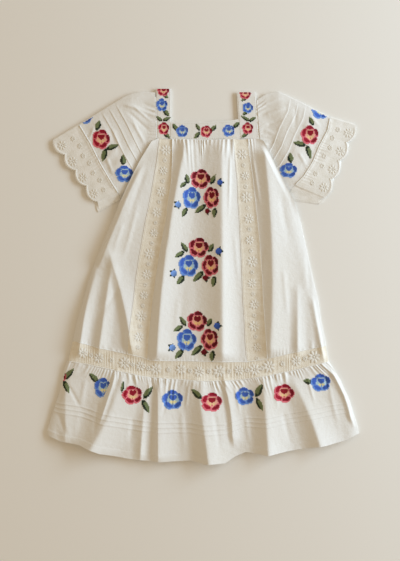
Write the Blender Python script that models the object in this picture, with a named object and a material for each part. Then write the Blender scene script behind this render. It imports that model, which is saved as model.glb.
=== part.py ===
"""A small girl's cotton dress, laid flat on its back with its sleeves spread.

Metres, +Z up, neck towards +Y, lying on z = 0. Tables and sizes are in
millimetres, and each mesh is turned into metres as it is made. Every piece
of cloth is a closed wall: an outer layer of rows and an inner layer of rows.
"""

from collections import namedtuple

import bmesh
import bpy
import numpy as np

MM = 0.001

# Walls and gaps
CLOTH = 1.2
DOUBLED = 1.6
LACE = 1.0
SEAM = 0.3

# Heights of the upper face of the front above the floor
EDGE_HEIGHT = CLOTH + SEAM + CLOTH
BAND_HEIGHT = DOUBLED + SEAM + DOUBLED
BODY_HEIGHT = 5.6
EDGE_ROUND = 14.0
TOP_EASE = 20.0
FOLD_FADE = 22.0
FOLD_EDGE_EASE = 1.6
SLOPE_STEP = 0.5

# Where the front of the body is cut and seamed, and how high its side edges lie
BODY_COLUMNS = (
    "y", "left", "left_lace_out", "left_lace_in", "right_lace_in", "right_lace_out", "right", "edge_height",
)
BODY_ROWS = (
    (193, -69, -61, -43, 42, 62, 83, 6.2),
    (162, -88, -64, -43, 45, 66, 98, 6.6),
    (134, -102, -69, -44, 48, 70, 112, 6.6),
    (106, -115, -74, -48, 49, 73, 127, 6.2),
    (78, -127, -80, -52, 51, 76, 136, 2.7),
    (50, -139, -85, -57, 52.5, 79, 142, 2.7),
    (22, -150, -90, -62, 54, 81, 148, 2.7),
    (-6, -160, -94, -66, 55, 83, 154, 2.7),
    (-34, -168, -97, -70, 56, 84, 161, 2.7),
    (-62, -176, -101, -73, 58, 86, 165, 2.7),
    (-90, -182, -104, -76, 59, 88, 171, 2.7),
    (-122, -190, -107, -78, 62, 90, 176, 2.7),
)
BODY = dict(zip(BODY_COLUMNS, np.array(BODY_ROWS, float).T))

# Level lines across the dress, as (x, y) points
BAND_LINE = ((-72, 188), (-64, 192.3), (3, 190), (79, 192.3), (86, 188))
BAND_TOP = ((-45, 216), (3, 216), (38, 218), (51, 220))
LACE_TOP = (
    (-179, -91), (-144, -101), (-88, -113), (-74, -118), (24, -120), (62, -120), (83, -117), (122, -108),
    (174, -97),
)
LACE_FOOT = (
    (-190, -119), (-165, -123), (-123, -132), (-81, -141), (-46, -144), (3, -147), (45, -146), (83, -141),
    (122, -133), (176, -120),
)
HEM = (
    (-217, -223), (-200, -231), (-172, -236), (-157, -242), (-144, -248), (-102, -256), (-60, -260), (-18, -258),
    (3, -262), (31, -261), (45, -252), (60, -246), (74, -248), (90, -250), (112, -246), (136, -242), (174, -236),
    (199, -230), (217, -221),
)
RUFFLE_LEFT = ((-190, -119), (-195, -132), (-201, -160), (-210, -188), (-218, -216), (-217, -223))
RUFFLE_RIGHT = ((176, -120), (192, -140), (204, -165), (211, -189), (217, -213), (218, -221))

# Folds of the front: each crest runs from its start to its end, bowed sideways
# at its middle, with its own widths to the left and right of the crest
Fold = namedtuple("Fold", "x_start y_start x_end y_end bow rise_left rise_right height_start height_end")
BODY_FOLDS = (
    Fold(-26, 176, -64, -104, -6, 17, 32, 6, 9),
    Fold(26, 178, 27, -106, 0, 40, 26, 6, 10),
    Fold(87, 165, 94, -100, 6, 24, 42, 7, 8),
    Fold(132, -27, 132, -97, 0, 12, 14, 2, 4.5),
    Fold(156, -45, 167, -104, 0, 8, 7, 2, 4),
    Fold(-100, 140, -140, 30, 0, 7, 42, 4, 5),
    Fold(-127, 20, -101, -96, 3, 12, 24, 3, 6),
    Fold(-130, 2, -144, -94, 0, 12, 17, 3, 5),
    Fold(-157, 8, -172, -97, 0, 7, 14, 3, 5),
)
RUFFLE_FOLDS = (
    Fold(-192, -162, -192, -222, 0, 14, 32, 2, 3.5),
    Fold(-116, -150, -158, -244, 4, 40, 46, 5, 12.5),
    Fold(-124, -144, -139, -190, 0, 5, 6, 2.5, 2.5),
    Fold(-83, -190, -87, -245, 0, 12, 12, 2, 4),
    Fold(-63, -158, -63, -250, 0, 9, 32, 3.5, 6.5),
    Fold(-6, -156, 8, -262, 0, 26, 48, 5, 12.5),
    Fold(31, -154, 41, -222, 2, 7, 18, 3.5, 3.5),
    Fold(85, -154, 91, -250, 0, 26, 38, 5, 11.5),
    Fold(132, -158, 164, -242, 3, 27, 38, 3.5, 10),
    Fold(184, -142, 206, -196, 3, 7, 9, 3, 3.5),
)
CREST_ROUND = 0.08
CREST_POWER = 1.7

# Gathers: how many columns carry them, how high they stand, how far they run
BAND_GATHER_COLUMNS = 40
CENTRE_COLUMNS = 24
SIDE_COLUMNS = 20
INSERTION_COLUMNS = 5
LACE_BAND_COLUMNS = 84
RUFFLE_COLUMNS = 92
BACK_COLUMNS = 30
BACK_GAP = 0.5
BACK_SKIRT_Y = (186, 180, 162, 141, 128, 114, 111, 108, 103, 92, 78, 50, 22, -6, -34, -62, -80)
BACK_RUFFLE_DOWN = (0, 0.4, 0.7, 1)
BAND_COLUMNS = 6
GATHER_HEIGHT = 0.9
RIB_HEIGHT = 0.5
LACE_BAND_DOWN = (0, 0.5, 1)
BODY_DOWN = (0, 0.04, 0.09, 0.16, 0.25, 0.34, 0.43, 0.52, 0.61, 0.7, 0.79, 0.88, 0.94, 1)
BAND_GATHER_ROWS = 3
RUFFLE_PLAIN_DOWN = (0, 0.06, 0.15, 0.28, 0.4)
RUFFLE_GATHER_ROWS = 3
RUFFLE_HEM_DOWN = (0.72, 0.82, 0.92, 1)
RUFFLE_LENGTH = 112.0

# Pin tucks: distance of each crest from the hem or the cuff
TUCK_HEIGHT = 1.0
TUCK_HALF = 1.8
RUFFLE_TUCKS = (52, 45.5, 39)
SLEEVE_TUCKS = (35, 46, 57)

# Straps: x of the outer and inner edge at the shoulder and at the foot
Strap = namedtuple("Strap", "name outer_top inner_top outer_foot inner_foot shoulder_y")
STRAPS = (
    Strap("strap_left", -66, -45, -64.5, -45, 263),
    Strap("strap_right", 74, 47, 79, 51, 258),
)
STRAP_FOOT_Y = 192.6
STRAP_COLUMNS = 5
STRAP_OUTSIDE = ((-5, 1), (-1.2, 0.85), (0, 0.5), (-1.2, 0.15), (-4, 0))
STRAP_INSIDE = ((-4.5, DOUBLED + SEAM), (-3.5, DOUBLED + SEAM / 2), (-4.5, DOUBLED))

# Sleeves: the seam at the armhole, the cuff, the upper fold, the lower fold of
# the upper layer and the lower edge of the layer that lies on the floor
Sleeve = namedtuple("Sleeve", "name armhole cuff top low under_low")
SLEEVES = (
    Sleeve(
        "sleeve_left",
        ((-66.8, 258), (-66.2, 225), (-65.4, 192), (-71, 180), (-77, 162), (-85, 141), (-97, 121)),
        ((-174, 213), (-158, 186), (-144, 158), (-130, 134), (-118, 115)),
        ((-66.8, 258), (-88, 259), (-102, 256), (-113, 251), (-139, 235), (-174, 213)),
        ((-97, 121), (-107, 118), (-118, 115)),
        ((-99, 114), (-107, 111), (-115, 108)),
    ),
    Sleeve(
        "sleeve_right",
        ((75.2, 247), (77.3, 222), (79.9, 192), (83, 179), (87, 162), (92, 146)),
        ((178, 223), (174, 204), (162, 181), (154, 161), (141, 140), (128, 127)),
        ((75.2, 247), (88, 256), (106, 259), (136, 245), (178, 223)),
        ((92, 146), (109, 134), (128, 127)),
        ((97, 114), (106, 111), (114, 108)),
    ),
)
SLEEVE_EDGE = 3.0
SLEEVE_PUFF = 3.2
ARMHOLE_SHARE = 0.1
CUFF_SHARE = 0.5
SLEEVE_ACROSS = 10
SLEEVE_STATIONS = (0, 11, 22, 72, 88)
SLEEVE_PLAIN_STATIONS = (0, 22, 46, 72)
UNDER_BODY = 11.0
PUFF_EASE = 25.0
CROWDING = 4.0
FOLD_INSET = 0.01
FOLD_CROWDING = 0.06
TUCK_END = 0.9
TUCK_EASE = 0.2
TUCK_FOLD_EASE = 8

# Rings of a flattened tube: how far the upper fold stands out and at what
# height, how much the lower edge is rounded, how far in the lining turns, and
# the share of a ring that its folds take
FOLD_OUT = 0.8
FOLD_HEIGHT = 1.4
LOW_ROUND = 0.4
LINING_IN = 1.4
FOLD_SHARE = 0.1

# Lace edging of the sleeves: the line through the notches of each layer
Edging = namedtuple("Edging", "name first last under_last scallops under_scallops")
EDGINGS = (
    Edging("sleeve_lace_left", (-209, 192), (-148, 105), (-140.4, 94.1), 4, 4.5),
    Edging("sleeve_lace_right", (212, 213), (168, 110), (160, 101), 4, 5),
)
SCALLOP_DEPTH = 7.0
SCALLOP_ROUNDNESS = 0.7
CUFF_GAP = 0.6
EDGING_ACROSS = 16
EDGING_DOWN = (0, 0.4, 0.75, 1)
EDGING_TIP = 2.9
EDGING_FOLD = 2.4

# Colours
CREAM = (0.78, 0.74, 0.64)
NET = (0.66, 0.58, 0.42)

Layer = namedtuple("Layer", "rows across down")


def clear_scene():
    """Remove whatever the file opened with."""
    for item in list(bpy.data.objects):
        bpy.data.objects.remove(item, do_unlink=True)


def material(name, colour, roughness):
    """A plain cotton or lace finish."""
    finish = bpy.data.materials.new(name)
    finish.use_nodes = True
    shader = finish.node_tree.nodes["Principled BSDF"]
    shader.inputs["Base Color"].default_value = (*colour, 1)
    shader.inputs["Roughness"].default_value = roughness
    shader.inputs["Metallic"].default_value = 0
    return finish


def ease(t):
    """A smooth step from 0 to 1."""
    t = np.clip(t, 0, 1)
    return t * t * (3 - 2 * t)


def level(line, x):
    """Height y of a level line at x."""
    points = np.array(line, float)
    return np.interp(x, points[:, 0], points[:, 1])


def walk(line, share):
    """Points at shares of the way along a line."""
    points = np.array(line, float)
    steps = np.hypot(*np.diff(points, axis=0).T)
    travelled = np.concatenate(([0], np.cumsum(steps))) / steps.sum()
    return np.stack([np.interp(share, travelled, points[:, k]) for k in (0, 1)], axis=-1)


def seam_x(column, y):
    """Place of a seam of the body at y."""
    return np.interp(-y, -BODY["y"], BODY[column])


def between(left, right, top, foot, u, share):
    """Place on the floor of points between two seams and two level lines."""
    y = level(top, 0) * (1 - share) + level(foot, 0) * share + 0 * u
    for _ in range(4):
        left_x, right_x = left(y) + SEAM / 2, right(y) - SEAM / 2
        x = left_x + u * (right_x - left_x)
        y = (level(top, x) - SEAM / 2) * (1 - share) + (level(foot, x) + SEAM / 2) * share
    return x, y


def fold_height(fold, x, y):
    """One fold: a ridge with hollow sides and a slightly rounded crest.

    Its section is (1 - t) to a power, where t is the rounded share of the way
    out from the crest, and it fades past both ends.
    """
    share = (fold.y_start - y) / (fold.y_start - fold.y_end)
    bow = 4 * fold.bow * np.clip(share, 0, 1) * (1 - np.clip(share, 0, 1))
    away = x - fold.x_start - share * (fold.x_end - fold.x_start) - bow
    reach = np.where(away < 0, fold.rise_left, fold.rise_right)
    out = (np.hypot(away / reach, CREST_ROUND) - CREST_ROUND) / (np.hypot(1, CREST_ROUND) - CREST_ROUND)
    section = (1 - np.clip(out, 0, 1)) ** CREST_POWER
    fade = ease((fold.y_start + FOLD_FADE - y) / FOLD_FADE) * ease((y - fold.y_end + FOLD_FADE) / FOLD_FADE)
    height = fold.height_start + np.clip(share, 0, 1) * (fold.height_end - fold.height_start)
    return height * section * fade


def front_height(x, y):
    """Upper face of the front: rounded side edges, a low body and its folds."""
    skirt_left = np.interp(-y, [-p[1] for p in RUFFLE_LEFT], [p[0] for p in RUFFLE_LEFT])
    skirt_right = np.interp(-y, [-p[1] for p in RUFFLE_RIGHT], [p[0] for p in RUFFLE_RIGHT])
    left = np.where(y > RUFFLE_LEFT[0][1], seam_x("left", y), skirt_left)
    right = np.where(y > RUFFLE_RIGHT[0][1], seam_x("right", y), skirt_right)
    inside = np.clip(np.minimum(x - left, right - x) / EDGE_ROUND, 0, 1)
    middle = BAND_HEIGHT + (BODY_HEIGHT - BAND_HEIGHT) * ease((BAND_LINE[1][1] - y) / TOP_EASE)
    base = middle + (seam_x("edge_height", y) - middle) * (1 - inside) ** 2
    folds = sum(fold_height(fold, x, y) for fold in BODY_FOLDS + RUFFLE_FOLDS)
    return base + folds * ease(inside * FOLD_EDGE_EASE)


def front_normal(x, y):
    """Unit normals of the upper face of the front."""
    step = SLOPE_STEP
    slope_x = (front_height(x + step, y) - front_height(x - step, y)) / (2 * step)
    slope_y = (front_height(x, y + step) - front_height(x, y - step)) / (2 * step)
    normal = np.stack([-slope_x, -slope_y, np.ones_like(slope_x)], axis=-1)
    return normal / np.linalg.norm(normal, axis=-1, keepdims=True)


def front_row(x, y, relief, wall, at_seam):
    """A row of the front's outer face, and the same row moved in by the wall.

    At a seam across the dress the row moves in without moving up or down the
    dress, so that the walls on both sides of the seam stay clear of each other.
    """
    height = front_height(x, y)
    smooth = np.stack([x, y, height], axis=-1)
    spare = np.clip(height - EDGE_HEIGHT, 0, np.abs(relief)) * np.sign(relief)
    lifted = smooth + np.stack([np.zeros_like(x), np.zeros_like(x), spare], axis=-1)
    normal = front_normal(x, y)
    if at_seam:
        normal = normal * np.array([1, 0, 1])
        normal = normal / np.linalg.norm(normal, axis=-1, keepdims=True)
    return lifted, lifted - wall * normal


def strip(faces, first, second, first_at, second_at):
    """Triangles between two runs of vertices, kept in step along both runs."""
    i = j = 0
    while i < len(first) - 1 or j < len(second) - 1:
        second_done = j == len(second) - 1
        if second_done or (i < len(first) - 1 and first_at[i + 1] <= second_at[j + 1] + 1e-9):
            faces.append((first[i], first[i + 1], second[j]))
            i += 1
        else:
            faces.append((first[i], second[j + 1], second[j]))
            j += 1


def add_layer(layer, corners, faces, ring):
    """Add one layer's rows and the strips between them, and return its runs."""
    runs = []
    for row in layer.rows:
        run = list(range(len(corners), len(corners) + len(row)))
        corners.extend(row)
        runs.append(run + run[:1] if ring else run)
    for k in range(len(runs) - 1):
        strip(faces, runs[k], runs[k + 1], layer.across[k], layer.across[k + 1])
    return runs


def cloth_solid(name, outer, inner, finish, ring=False):
    """One closed wall from an outer and an inner layer. Rings have no sides."""
    corners, faces = [], []
    outside = add_layer(outer, corners, faces, ring)
    inside = add_layer(inner, corners, faces, ring)
    for end in (0, -1):
        strip(faces, outside[end], inside[end], outer.across[end], inner.across[end])
        if not ring:
            outer_side = [run[end] for run in outside]
            inner_side = [run[end] for run in inside]
            strip(faces, outer_side, inner_side, outer.down, inner.down)
    mesh = bpy.data.meshes.new(name)
    mesh.from_pydata([tuple(np.array(corner) * MM) for corner in corners], [], faces)
    work = bmesh.new()
    work.from_mesh(mesh)
    bmesh.ops.recalc_face_normals(work, faces=work.faces)
    work.to_mesh(mesh)
    work.free()
    mesh.shade_smooth()
    mesh.set_sharp_from_angle(angle=np.radians(50))
    mesh.materials.append(finish)
    piece = bpy.data.objects.new(name, mesh)
    bpy.context.collection.objects.link(piece)
    return piece


def zigzag(columns, height):
    """Gathers: crests and hollows in turn, level at both ends."""
    relief = height * np.where(np.arange(columns + 1) % 2, 1.0, -1.0)
    relief[[0, -1]] = 0
    return relief


def front_panel(name, left, right, top, foot, gathers, columns, down, wall, finish):
    """A panel of the front between two seams and two level lines.

    gathers holds the relief of each gathered row, from the top. Gathered rows
    have their own, finer columns.
    """
    outer_rows, inner_rows, across = [], [], []
    for k, share in enumerate(down):
        relief = gathers[k] if k < len(gathers) else np.zeros(columns + 1)
        u = np.linspace(0, 1, len(relief))
        x, y = between(left, right, top, foot, u, share)
        outer_row, inner_row = front_row(x, y, relief, wall, share in (0, 1))
        outer_rows.append(outer_row)
        inner_rows.append(inner_row)
        across.append(u)
    return cloth_solid(name, Layer(outer_rows, across, down), Layer(inner_rows, across, down), finish)


def body_front(cream, net):
    """The five panels between the neckband and the lower lace."""
    fine = zigzag(BAND_GATHER_COLUMNS, GATHER_HEIGHT)
    gathers = [fine * (1 - k / BAND_GATHER_ROWS) for k in range(BAND_GATHER_ROWS)]
    panels = (
        ("front_side_left", "left", "left_lace_out", (), SIDE_COLUMNS, CLOTH, cream),
        ("insertion_left", "left_lace_out", "left_lace_in", (), INSERTION_COLUMNS, LACE, net),
        ("front_centre", "left_lace_in", "right_lace_in", gathers, CENTRE_COLUMNS, CLOTH, cream),
        ("insertion_right", "right_lace_in", "right_lace_out", (), INSERTION_COLUMNS, LACE, net),
        ("front_side_right", "right_lace_out", "right", (), SIDE_COLUMNS, CLOTH, cream),
    )
    for name, left, right, gathered, columns, wall, finish in panels:
        sides = body_side(left), body_side(right)
        front_panel(name, *sides, BAND_LINE, LACE_TOP, gathered, columns, BODY_DOWN, wall, finish)


def body_side(column):
    """A seam of the body as a function of y."""
    return lambda y: seam_x(column, y)


def lace_band(net):
    """The ribbed band of lace above the ruffle, on the front."""
    ribs = [zigzag(LACE_BAND_COLUMNS, RIB_HEIGHT)] * len(LACE_BAND_DOWN)
    left, right = body_side("left"), body_side("right")
    front_panel("lace_band_front", left, right, LACE_TOP, LACE_FOOT, ribs, 1, LACE_BAND_DOWN, LACE, net)


def ruffle_point(u, share):
    """Place on the floor of a point of the ruffle, from its sides, top and hem."""
    left_x = walk(RUFFLE_LEFT, share)[..., 0]
    right_x = walk(RUFFLE_RIGHT, share)[..., 0]
    x = left_x + u * (right_x - left_x)
    top = level(LACE_FOOT, x) - SEAM / 2
    return x, top * (1 - share) + level(HEM, x) * share


def ruffle_front(cream):
    """The gathered ruffle: fine gathers at the top, deep folds and pin tucks."""
    tuck_rows = []
    for tuck in RUFFLE_TUCKS:
        for offset, height in ((TUCK_HALF, 0), (0, TUCK_HEIGHT), (-TUCK_HALF, 0)):
            tuck_rows.append((1 - (tuck + offset) / RUFFLE_LENGTH, height))
    rows = [(share, 0) for share in RUFFLE_PLAIN_DOWN] + tuck_rows + [(share, 0) for share in RUFFLE_HEM_DOWN]
    plain = set(RUFFLE_PLAIN_DOWN + RUFFLE_HEM_DOWN)
    outer, inner = Layer([], [], []), Layer([], [], [])
    for k, (share, tuck) in enumerate(rows):
        gathered = k < RUFFLE_GATHER_ROWS
        columns = 2 * RUFFLE_COLUMNS if gathered else RUFFLE_COLUMNS
        u = np.linspace(0, 1, columns + 1)
        x, y = ruffle_point(u, share)
        fading = GATHER_HEIGHT * (1 - k / (RUFFLE_GATHER_ROWS + 1))
        relief = zigzag(columns, fading) if gathered else np.full_like(u, tuck)
        outer_row, inner_row = front_row(x, y, relief, CLOTH, share == 0)
        outer.rows.append(outer_row)
        outer.across.append(u)
        outer.down.append(share)
        if share in plain:
            inner.rows.append(inner_row)
            inner.across.append(u)
            inner.down.append(share)
    cloth_solid("ruffle_front", outer, inner, cream)


def flat_piece(name, rows, thick, finish):
    """A piece that lies flat on the floor, from its rows of x and y, from the top."""
    upper = [np.stack([x, y, np.full_like(x, thick)], axis=-1) for x, y in rows]
    lower = [np.stack([x, y, np.zeros_like(x)], axis=-1) for x, y in rows]
    across = [np.linspace(0, 1, len(x)) for x, _ in rows]
    down = np.linspace(0, 1, len(rows))
    return cloth_solid(name, Layer(upper, across, down), Layer(lower, across, down), finish)


def lower_layer(spec):
    """The lines of a sleeve's lower layer, which lies on the floor."""
    cuff = spec.cuff[:-1] + spec.under_low[-1:]
    armhole = spec.armhole[:-1] + spec.under_low[:1]
    return spec._replace(low=spec.under_low, cuff=cuff, armhole=armhole)


def back_edge(spec, column):
    """Side of the back: along the armhole and under the sleeve, then down the skirt."""
    line = np.array(lower_layer(spec).armhole[2:] + spec.under_low[1:], float)
    outward = np.sign(line[0, 0])

    def edge(y):
        along_sleeve = np.interp(-y - BACK_GAP, -line[:, 1], line[:, 0]) - outward * BACK_GAP
        return np.where(y > line[-1, 1] - 2 * BACK_GAP, along_sleeve, seam_x(column, y))

    return edge


def back_pieces(cream, net):
    """The back: a flat skirt, a band of lace and a ruffle, all on the floor."""
    left, right = back_edge(SLEEVES[0], "left"), back_edge(SLEEVES[1], "right")
    side_left, side_right = body_side("left"), body_side("right")
    u, ends = np.linspace(0, 1, BACK_COLUMNS + 1), np.array([0.0, 1.0])
    top, foot = (between(left, right, BAND_LINE, LACE_TOP, u, share) for share in (0, 1))
    middle = []
    for corner_y in BACK_SKIRT_Y:
        y = np.full_like(ends, corner_y - BACK_GAP)
        middle.append((left(y) + ends * (right(y) - left(y)), y))
    flat_piece("back_skirt", [top] + middle + [foot], CLOTH, cream)
    lace = [between(side_left, side_right, LACE_TOP, LACE_FOOT, u, share) for share in (0, 1)]
    flat_piece("lace_band_back", lace, LACE, net)
    flat_piece("ruffle_back", [ruffle_point(u, share) for share in BACK_RUFFLE_DOWN], CLOTH, cream)


def bands(cream):
    """The neckband between the straps, at the front and at the back."""
    left_strap, right_strap = STRAPS

    def left(y):
        return left_strap.inner_foot + 0 * y

    def right(y):
        slant = (y - STRAP_FOOT_Y) / (right_strap.shoulder_y - STRAP_FOOT_Y)
        return right_strap.inner_foot + slant * (right_strap.inner_top - right_strap.inner_foot)

    u = np.linspace(0, 1, BAND_COLUMNS + 1)
    rows = [between(left, right, BAND_TOP, BAND_LINE, u, share) for share in (0, 1)]
    flat_piece("back_band", rows, DOUBLED, cream)
    front = flat_piece("front_band", rows, DOUBLED, cream)
    for corner in front.data.vertices:
        corner.co.z += (DOUBLED + SEAM) * MM


def strap(spec, cream):
    """A doubled strip that runs up the front, over the shoulder and down the back."""
    end = spec.shoulder_y
    outer_turn = [(end + step, part * BAND_HEIGHT) for step, part in STRAP_OUTSIDE]
    inner_turn = [(end + step, z) for step, z in STRAP_INSIDE]
    outer_path = [(STRAP_FOOT_Y, BAND_HEIGHT)] + outer_turn + [(STRAP_FOOT_Y, 0)]
    inner_path = [(STRAP_FOOT_Y, DOUBLED + SEAM)] + inner_turn + [(STRAP_FOOT_Y, DOUBLED)]
    u = np.linspace(0, 1, STRAP_COLUMNS + 1)
    layers = []
    for path in (outer_path, inner_path):
        rows = []
        for y, z in path:
            up = (y - STRAP_FOOT_Y) / (end - STRAP_FOOT_Y)
            outer_x = spec.outer_foot + up * (spec.outer_top - spec.outer_foot)
            inner_x = spec.inner_foot + up * (spec.inner_top - spec.inner_foot)
            x = outer_x + u * (inner_x - outer_x)
            rows.append(np.stack([x, np.full_like(x, y), np.full_like(x, z)], axis=-1))
        layers.append(Layer(rows, [u] * len(rows), np.linspace(0, 1, len(rows))))
    cloth_solid(spec.name, layers[0], layers[1], cream)


def sleeve_place(spec, s, reach):
    """Place on the floor of a point of the upper layer.

    s runs from the upper fold to the lower fold and reach from the cuff, 0, to
    the armhole, 1. The four edges are blended in the way of a Coons patch.
    """
    cuff, armhole = walk(spec.cuff, s), walk(spec.armhole, s)
    top, low = walk(spec.top, 1 - reach), walk(spec.low, 1 - reach)
    s, r = np.broadcast_to(s, top.shape[:-1])[..., None], np.broadcast_to(reach, top.shape[:-1])[..., None]
    ruled = (1 - r) * cuff + r * armhole + (1 - s) * top + s * low
    corners = np.array([spec.cuff[0], spec.cuff[-1], spec.armhole[0], spec.armhole[-1]], float)
    blend = (1 - r) * ((1 - s) * corners[0] + s * corners[1]) + r * ((1 - s) * corners[2] + s * corners[3])
    return ruled - blend


def sleeve_reach(spec, s, from_cuff):
    """Share of the way to the armhole of stations at a distance from the cuff.

    Where the sleeve is short, under the body, the stations crowd together.
    """
    length = np.hypot(*(walk(spec.armhole, s) - walk(spec.cuff, s)).T)
    wanted = from_cuff / length
    return wanted / (1 + wanted ** CROWDING) ** (1 / CROWDING), length


def sleeve_height(s, reach, length):
    """Upper face of a sleeve: low at the folds, the cuff and the armhole."""
    rounded = 1 - np.abs(2 * s - 1) ** 4
    to_body = ARMHOLE_SHARE + (1 - ARMHOLE_SHARE) * ease(((1 - reach) * length - UNDER_BODY) / PUFF_EASE)
    to_cuff = CUFF_SHARE + (1 - CUFF_SHARE) * ease(reach * length / PUFF_EASE)
    return SLEEVE_EDGE + SLEEVE_PUFF * rounded * to_body * to_cuff


def ring_rows(upper, under, height, relief, wall):
    """One station of a flattened tube, as its outer ring and its inner ring.

    upper and under are places on the floor of the two layers, from the upper
    fold to the lower fold. The outer ring runs over the top, down the lower
    fold, out to the edge of the layer below and back along the floor. Places
    round a ring are counted from 0 to 1 over the top and on to 2 at its end.
    """
    def place(points, z):
        return np.column_stack([points, np.broadcast_to(z, len(points))])

    fold = upper[0] - upper[1]
    fold = fold / np.linalg.norm(fold)
    hang = under[-1] - upper[-1]
    hang = hang / np.linalg.norm(hang)
    outer = np.vstack([
        place(upper[:1] + FOLD_OUT * fold, FOLD_HEIGHT),
        place(upper, height + relief),
        place(upper[-1:] + LOW_ROUND * hang, wall + LOW_ROUND),
        place(under[-1:] - LOW_ROUND * hang, wall),
        place(under[-1:], 0.5 * wall),
        place(under[-1:] - LOW_ROUND * hang, 0),
        place(under[-2::-1], 0),
    ])
    count = len(upper)
    over, back = np.linspace(FOLD_SHARE, 1, count), np.linspace(1 + FOLD_SHARE, 2 - FOLD_SHARE, count - 1)
    low_edge = 1 + FOLD_SHARE * np.linspace(0, 1, 6)[1:-1]
    outer_at = np.concatenate([[0], over, low_edge, back, [2]])
    lining = upper[1:-1]
    low_fold = (upper[-1] - upper[-2]) / np.linalg.norm(upper[-1] - upper[-2])
    first = upper[0] - LINING_IN * fold
    last = upper[-1] - LINING_IN * low_fold
    middle = wall + SEAM / 2
    inner = np.vstack([
        place(first[None], middle),
        place(lining, height[1:-1] - wall),
        place(last[None], middle),
        place(lining[::-1], wall),
    ])
    over = np.linspace(2 * FOLD_SHARE, 1 - FOLD_SHARE, count - 2)
    inner_at = np.concatenate([[0], over, low_edge[1:2], 1 + over - FOLD_SHARE / 2, [2]])
    return outer, outer_at, inner, inner_at


def across_shares(count):
    """Shares across a tube, closer together near its folds."""
    even = np.linspace(0, 1, count + 1)
    shares = 0.5 - 0.5 * np.cos(np.pi * (FOLD_CROWDING + (1 - 2 * FOLD_CROWDING) * even))
    even = (shares - shares[0]) / (shares[-1] - shares[0])
    return FOLD_INSET + (1 - 2 * FOLD_INSET) * even


def sleeve(spec, cream):
    """A puffed sleeve laid flat: one tube with raised tucks around its top."""
    s = across_shares(SLEEVE_ACROSS)
    rows = [(station, 0) for station in SLEEVE_STATIONS]
    for tuck in SLEEVE_TUCKS:
        rows += [(tuck - TUCK_HALF, 0), (tuck, TUCK_HEIGHT), (tuck + TUCK_HALF, 0)]
    rows.sort()
    under_spec = lower_layer(spec)
    outer, inner = Layer([], [], []), Layer([], [], [])
    for from_cuff, tuck in rows + [(None, 0)]:
        if from_cuff is None:
            reach, length = np.ones_like(s), sleeve_reach(spec, s, 0)[1]
        else:
            reach, length = sleeve_reach(spec, s, from_cuff)
        upper = sleeve_place(spec, s, reach)
        under = sleeve_place(under_spec, s, reach)
        height = sleeve_height(s, reach, length)
        off_folds = ease(TUCK_FOLD_EASE * s) * ease(TUCK_FOLD_EASE * (1 - s))
        raised = tuck * ease((TUCK_END - reach) / TUCK_EASE) * off_folds
        outer_row, outer_at, inner_row, inner_at = ring_rows(upper, under, height, raised, CLOTH)
        outer.rows.append(outer_row)
        outer.across.append(outer_at)
        outer.down.append(len(outer.rows))
        if from_cuff is None or from_cuff in SLEEVE_PLAIN_STATIONS:
            inner.rows.append(inner_row)
            inner.across.append(inner_at)
            inner.down.append(len(outer.rows))
    cloth_solid(spec.name, outer, inner, cream, ring=True)


def away_from_body(first, last):
    """Unit direction on the floor at right angles to a line, away from the body."""
    along = np.array(last, float) - np.array(first, float)
    outward = np.array([along[1], -along[0]]) / np.linalg.norm(along)
    return outward * np.sign(outward[0] * first[0])


def scalloped(first, last, scallops, s):
    """Rim of a layer of edging: half-round scallops along a straight line."""
    line = np.array(first) + s[:, None] * (np.array(last) - np.array(first))
    bulge = SCALLOP_DEPTH * np.abs(np.sin(np.pi * scallops * s)) ** SCALLOP_ROUNDNESS
    return line + bulge[:, None] * away_from_body(first, last)


def along_cuff(cuff, s):
    """Points on the straight runs of a sleeve's own cuff edge, just clear of it."""
    at = across_shares(SLEEVE_ACROSS)
    corners = walk(cuff, at)
    place = at[0] + (at[-1] - at[0]) * s
    gap = CUFF_GAP * away_from_body(cuff[0], cuff[-1])
    return np.stack([np.interp(place, at, corners[:, k]) for k in (0, 1)], axis=-1) + gap


def edging(spec, owner, net):
    """The lace edging of a sleeve: a flattened ring with a scalloped rim."""
    s = np.linspace(0, 1, EDGING_ACROSS + 1)
    seam_height = sleeve_height(s, np.zeros_like(s), sleeve_reach(owner, s, 0)[1])
    upper_seam = along_cuff(owner.cuff, s)
    under_seam = along_cuff(lower_layer(owner).cuff, s)
    upper_rim = scalloped(spec.first, spec.last, spec.scallops, s)
    under_rim = scalloped(spec.first, spec.under_last, spec.under_scallops, s)
    outer, inner = Layer([], [], []), Layer([], [], [])
    for share in EDGING_DOWN:
        upper = upper_seam * (1 - share) + upper_rim * share
        under = under_seam * (1 - share) + under_rim * share
        height = seam_height * (1 - share) + EDGING_TIP * share
        height[[0, -1]] = EDGING_FOLD
        outer_row, outer_at, inner_row, inner_at = ring_rows(upper, under, height, 0 * s, LACE)
        for layer, row, at in ((outer, outer_row, outer_at), (inner, inner_row, inner_at)):
            layer.rows.append(row)
            layer.across.append(at)
            layer.down.append(share)
    cloth_solid(spec.name, outer, inner, net, ring=True)


def build():
    """Make the whole dress."""
    clear_scene()
    cream = material("cream_cotton", CREAM, 0.85)
    net = material("cotton_lace", NET, 0.9)
    back_pieces(cream, net)
    bands(cream)
    for spec in STRAPS:
        strap(spec, cream)
    body_front(cream, net)
    lace_band(net)
    ruffle_front(cream)
    for spec in SLEEVES:
        sleeve(spec, cream)
    for spec, owner in zip(EDGINGS, SLEEVES):
        edging(spec, owner, net)


build()
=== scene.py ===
"""A small girl's embroidered cotton dress, laid flat, with its floor, light and camera.

Tables and sizes are in millimetres, x to the right and y towards the neck, and
each mesh is turned into metres as it is made.
"""

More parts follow.
